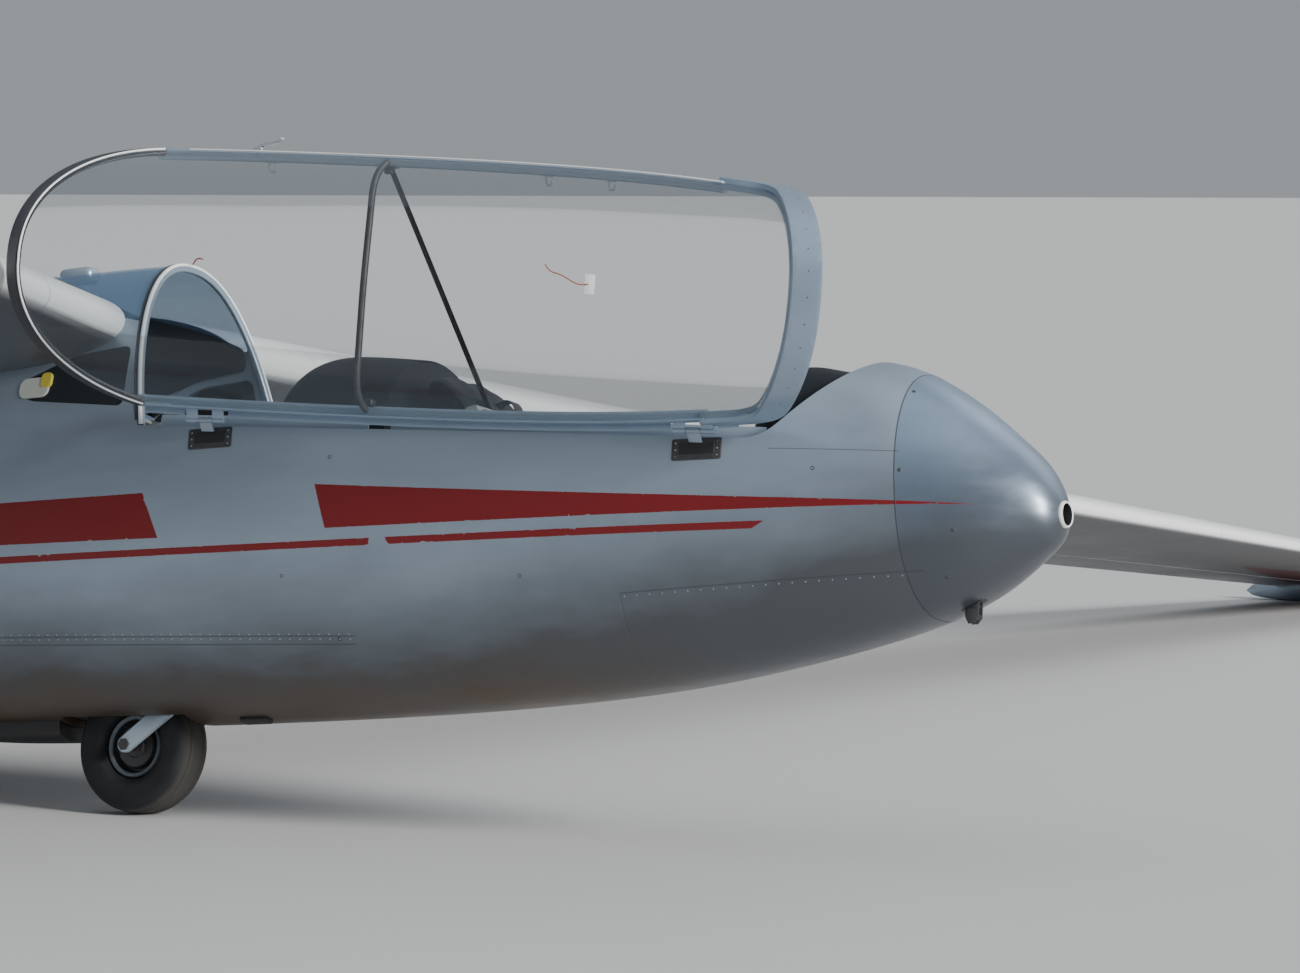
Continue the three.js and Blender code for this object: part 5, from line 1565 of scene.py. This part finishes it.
def pad(origin, along, across, out, long, wide, thick, channels, waist=0.05, steps=44):
    """A stuffed pad: flat under, crowned on top, its sides drawn in between the corners and its
    top pulled down along sewn channels, each at a part of the length."""
    parts = [-math.cos(i / steps * math.pi) * 0.6 + (i / steps * 2 - 1) * 0.4 for i in range(steps + 1)]
    top, low = [], []
    for u in parts:
        for v in parts:
            a = u * long / 2 * (1 - waist * (1 - v * v))
            b = v * wide / 2 * (1 - waist * (1 - u * u))
            rise = (max(0.0, 1 - u ** 6) * max(0.0, 1 - v ** 6)) ** 0.42
            rise *= 0.8 + 0.2 * (1 - u * u) * (1 - v * v)
            for part in channels:
                rise *= 1 - CHANNEL["deep"] * math.exp(-((u - part) * long / 2 / CHANNEL["half"]) ** 2)
            wrinkle = WRINKLE * math.sin(a * 0.09 + b * 0.05) * math.sin(b * 0.11 - a * 0.03)
            at = origin + along * a + across * b
            top.append(at + out * (thick * rise + wrinkle * rise + 1))
            low.append(at - out * 1.5 * rise)
    n = steps + 1
    under = n * n
    faces = []
    for i in range(steps):
        for j in range(steps):
            k = i * n + j
            faces.append((k, k + 1, k + n + 1, k + n))
            faces.append((k + under, k + n + under, k + n + 1 + under, k + 1 + under))
    rim = ([j for j in range(n)] + [i * n + n - 1 for i in range(1, n)]
           + [(n - 1) * n + j for j in range(n - 2, -1, -1)] + [i * n for i in range(n - 2, 0, -1)])
    for here, after in zip(rim, rim[1:] + rim[:1]):
        faces.append((here, here + under, after + under, after))
    path = [(top[k] + low[k]) / 2 for k in rim[::3]]
    piping = sweep(path, [out] * len(path), circle(3.4, 8), 70, closed=True)
    return join([build(top + low, faces, 60), piping])


SEAT = {
    # end: foot of the seat back, top of the back, pan's front from the foot
    "front": (1296, 806, 430), "rear": (215, 860, 290),
}
SEAT_HALF = 215
SEAT_FOOT = 262  # height of the fold between pan and back
SEAT_LEAN = 210
STRAP = rounded_box(44, 2.6, 1.1, 2)
ACROSS = np.array((0.0, 1.0, 0.0))
for end, (x, back_top, pan_front) in SEAT.items():
    outline = [
        (x + pan_front, FLOOR_TOP), (x + pan_front, 300), (x + pan_front - 60, 312), (x + 60, SEAT_FOOT),
        (x - 150, back_top), (x - 186, back_top - 8), (x + 22, 232), (x + 22, FLOOR_TOP),
        (x + 52, FLOOR_TOP), (x + 52, 238), (x + pan_front - 34, 282), (x + pan_front - 30, FLOOR_TOP),
    ]
    bucket = keep(prism(rounded(outline, 7, 3), -SEAT_HALF, SEAT_HALF), in_cabin())
    place(f"seat_shell_{end}", bevel(bucket, 2), inner_paint, f"seat_{end}")
    pan = unit((pan_front - 120, 0, 50))
    up_pan = np.array((-pan[2], 0, pan[0]))
    middle = np.array((x + 60 + (pan_front - 120) / 2, 0, 287)) + pan * 4 + up_pan * 1.6
    cushion = pad(middle, pan, ACROSS, up_pan, pan_front - 132, 384, 46, (-0.34, 0.34))
    back = unit((-SEAT_LEAN, 0, back_top - SEAT_FOOT))
    out_back = np.array((back[2], 0, -back[0]))
    length = math.hypot(SEAT_LEAN, back_top - SEAT_FOOT)
    back_foot = np.array((x + 60, 0, SEAT_FOOT))
    middle = back_foot + back * (length / 2 + 22) + out_back * 1.6
    rest = pad(middle, back, ACROSS, out_back, length - 70, 372, 42, (-0.5, 0, 0.5))
    for name, piece in (("seat_cushion", cushion), ("seat_back_pad", rest)):
        place(f"{name}_{end}", piece, seat_cloth)
    # Harness: two shoulder straps down the back, a lap strap and its buckle
    foot = back_foot + back * 60
    straps = []
    for y in (-95, 95):
        points = [foot + back * up + out_back * out + shift for up, out, shift in (
            (length - 46, 20, (-26, y, -8)), (length - 52, 40, (0, y, 0)), (length - 110, 49, (0, y, 0)),
            (length * 0.45, 50, (0, y * 0.7, 0)), (70, 58, (0, y * 0.3, 0)), (40, 74, (0, y * 0.12, 0)))]
        straps.append(sweep(smooth_path(points, 40), [out_back] * 40, STRAP))
    points = [foot + out_back * out + back * up + shift for out, up, shift in (
        (20, -20, (0, -196, 0)), (62, 0, (10, -130, 6)), (80, 24, (0, 0, 0)), (62, 0, (10, 130, 6)),
        (20, -20, (0, 196, 0)))]
    straps.append(sweep(smooth_path(points, 40), [unit(out_back + back * 0.6)] * 40, STRAP))
    place(f"harness_{end}", join(straps), webbing)
    buckle = lathe([(0, 0), (30, 0), (30, 5), (26, 10), (12, 12), (0, 12)], 40, (0, 0, 0), "Z")
    turn = Matrix((Vector(back), Vector(ACROSS), Vector(out_back))).transposed().to_4x4()
    buckle.data.transform(Matrix.Translation(Vector(foot + out_back * 82 + back * 26) * MM) @ turn)
    place(f"harness_buckle_{end}", buckle, grey_metal)

# Black sheets on the upper walls behind the rear seat
REAR_DARK_SHEETS = [(-180, 1206), (40, 1140), (124, 1100), (112, 1046), (-44, 1030), (-215, 985), (-235, 1060)]
for side, word in SIDE_NAMES:
    lining = keep(hull_shell(260, -300, SKIN + 1, 4, 24),
                  prism(rounded(REAR_DARK_SHEETS, 18, 5), *sorted((0, side * 500))))
    place(f"rear_lining_{word}", lining, black_vinyl)

# Shelf and head cushion behind the front seat
SHELF = {"rear": 944, "front": 1100, "low": 690, "thick": 12}
HEAD_OUTLINE = [(952, 702), (952, 896), (968, 914), (1000, 903), (1047, 864), (1084, 819), (1090, 702)]
HEAD_CENTRE = np.array((1010, 0, 760))
shelf = keep(block(SHELF["rear"], SHELF["front"], -3000, 3000, SHELF["low"], SHELF["low"] + SHELF["thick"]),
             in_cabin(LINING["deep"] + TOUCH))
place("head_shelf", bevel(shelf, 2), inner_paint, "headrest_shelf")
head_rings = []
for part in np.linspace(-1, 1, 41):
    pull = 1 - 0.16 * abs(part) ** 6 - 0.02 * math.cos(part * math.pi * 3)
    head_rings.append([HEAD_CENTRE + (np.array((x, 0, z)) - HEAD_CENTRE) * (pull if z > 705 else 1)
                       + (0, part * 148, 0) for x, z in rounded(HEAD_OUTLINE, 22, 6)])
place("head_cushion", loft(head_rings, 50), black_vinyl)

# Control sticks: a boot, a tube, a grip and its rounded top
for end, x in (("front", 1770), ("rear", 556)):
    at = (x, 0, FLOOR_TOP)
    boot = lathe([(0, 0), (26, 0), (25, 5), (20, 8), (21, 13), (15, 17), (16, 22), (10.5, 28), (0, 28)],
                 32, at, "Z")
    stem = tube([(x, 0, FLOOR_TOP + up) for up in (20, 160, 315)], 9, 20, 18, (1, 0, 0))
    grip = lathe([(0, 306), (13, 306), (15.5, 314), (14, 330), (15.6, 346), (14, 362), (15.6, 378),
                  (14, 394), (15.8, 408), (15, 421), (9, 428), (0, 429)], 32, at, "Z")
    for part, material in ((boot, seal_rubber), (stem, grey_metal), (grip, black_vinyl)):
        dress(part, material)
    place(f"stick_{end}", join([boot, stem, grip]), None, f"control_stick_{end}")

# Strap that holds the canopy, from its port rail to the shelf
strap_top = np.array(SWING @ Vector(on_side(BRACE_X + 14, sill_z(BRACE_X) + 20, 1, 44) * MM)) / MM
strap_foot = np.array((1096, 28, 712))
strap_path = [strap_top * (1 - t) + strap_foot * t for t in np.linspace(0, 1, 30)]
strap = place("canopy_strap", sweep(strap_path, [(0.3, 1, 0)] * 30, rounded_box(20, 2.4, 1, 2)), webbing,
              body=None)
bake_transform(strap)

# Belly fairing, and the tail wheel's fork
FAIRING = [
    # station, bottom, half width
    (-215, 22, 84), (-420, 30, 72), (-700, 62, 40), (-860, 96, 12),
]
fairing_rings = []
for x, bottom, half in smooth_path(FAIRING, 24):
    arc = [(x, half * math.cos(a) * 0.96, bottom + 20 - 20 * math.sin(a))
           for a in np.linspace(0, math.pi, 19)]
    fairing_rings.append([(x, half, 300), (x, half, bottom + 26), *arc, (x, -half, bottom + 26),
                          (x, -half, 300)])
place("fairing", carve(loft(fairing_rings), hull(1000, -2400, -TOUCH)), black_enamel, "belly_fairing")
tail_half = TAIL["half"] - TOUCH
tail_top = TAIL["high"] - TOUCH
cheeks = prism([(TAIL["x"] - 26, TAIL["z"] - 24), (TAIL["x"] + 26, TAIL["z"] - 24),
                (TAIL["x"] + 70, tail_top), (TAIL["x"] - 70, tail_top)], -tail_half, tail_half)
carve(cheeks, block(TAIL["x"] - 300, TAIL["x"] + 300, -tail_half + 6, tail_half - 6, -300, tail_top - 5),
      rod(TAIL_WHEEL_SIZE["bore"] - 0.2, -200, 200, TAIL["x"], TAIL["z"]))
place("tail_fork", bevel(cheeks, 1.5), grey_metal, "tail_wheel_fork")

# Main wheel: a dark brake drum behind a grey rim ring
RIM_RING = [(72, -37.5), (82.6, -37.5), (83.4, -41), (80, -44), (74, -43), (71, -40)]
rim_rings = join([lathe([(r, y * side) for r, y in RIM_RING], 96) for side in (1, -1)])
place("main_wheel_rings", rim_rings, rim_metal, body="main_wheel")
drum = lathe([(30, -36), (54, -36), (58, -30), (58, -17), (30, -17)], 72)
place("main_brake_drum", drum, dark_metal, body="main_wheel")

# CAD nodes that keep their own shape
for node, material in (("cockpit_floor", inner_paint), ("wheel_well", inner_paint),
                       ("tail_axle", grey_metal)):
    dress(bpy.data.objects[node], material)

# Floor and light

bpy.ops.mesh.primitive_plane_add(size=600, location=(0, 0, 0))
floor = bpy.context.object
floor.name = "floor"
s = Shader("floor_paint")
dress(floor, s.finish(**{"Base Color": (0.6, 0.6, 0.6),
                         "Roughness": s.ramp(s.noise(0.8), 0.3, 0.7, 0.7, 0.8)}))
world = bpy.data.worlds.new("studio")
bpy.context.scene.world = world
world.use_nodes = True
sky = world.node_tree.nodes["Background"]
sky.inputs["Color"].default_value = (0.87, 0.935, 1.0, 1.0)
sky.inputs["Strength"].default_value = 0.36
for name, towards, strength, spread, tone in (
        ("key", (-0.93, 0.16, -0.36), 4.6, 14, (1.0, 0.985, 0.96)),
        ("top", (0.05, 0.25, -1.0), 0.4, 70, (1, 1, 1)),
        ("back", (-0.3, -1.0, -0.75), 0.4, 40, (0.94, 0.97, 1.0))):
    light = new_object(name, bpy.data.lights.new(name, "SUN"))
    light.data.energy = strength
    light.data.angle = math.radians(spread)
    light.data.color = tone
    light.rotation_euler = Vector(towards).to_track_quat("-Z", "Y").to_euler()
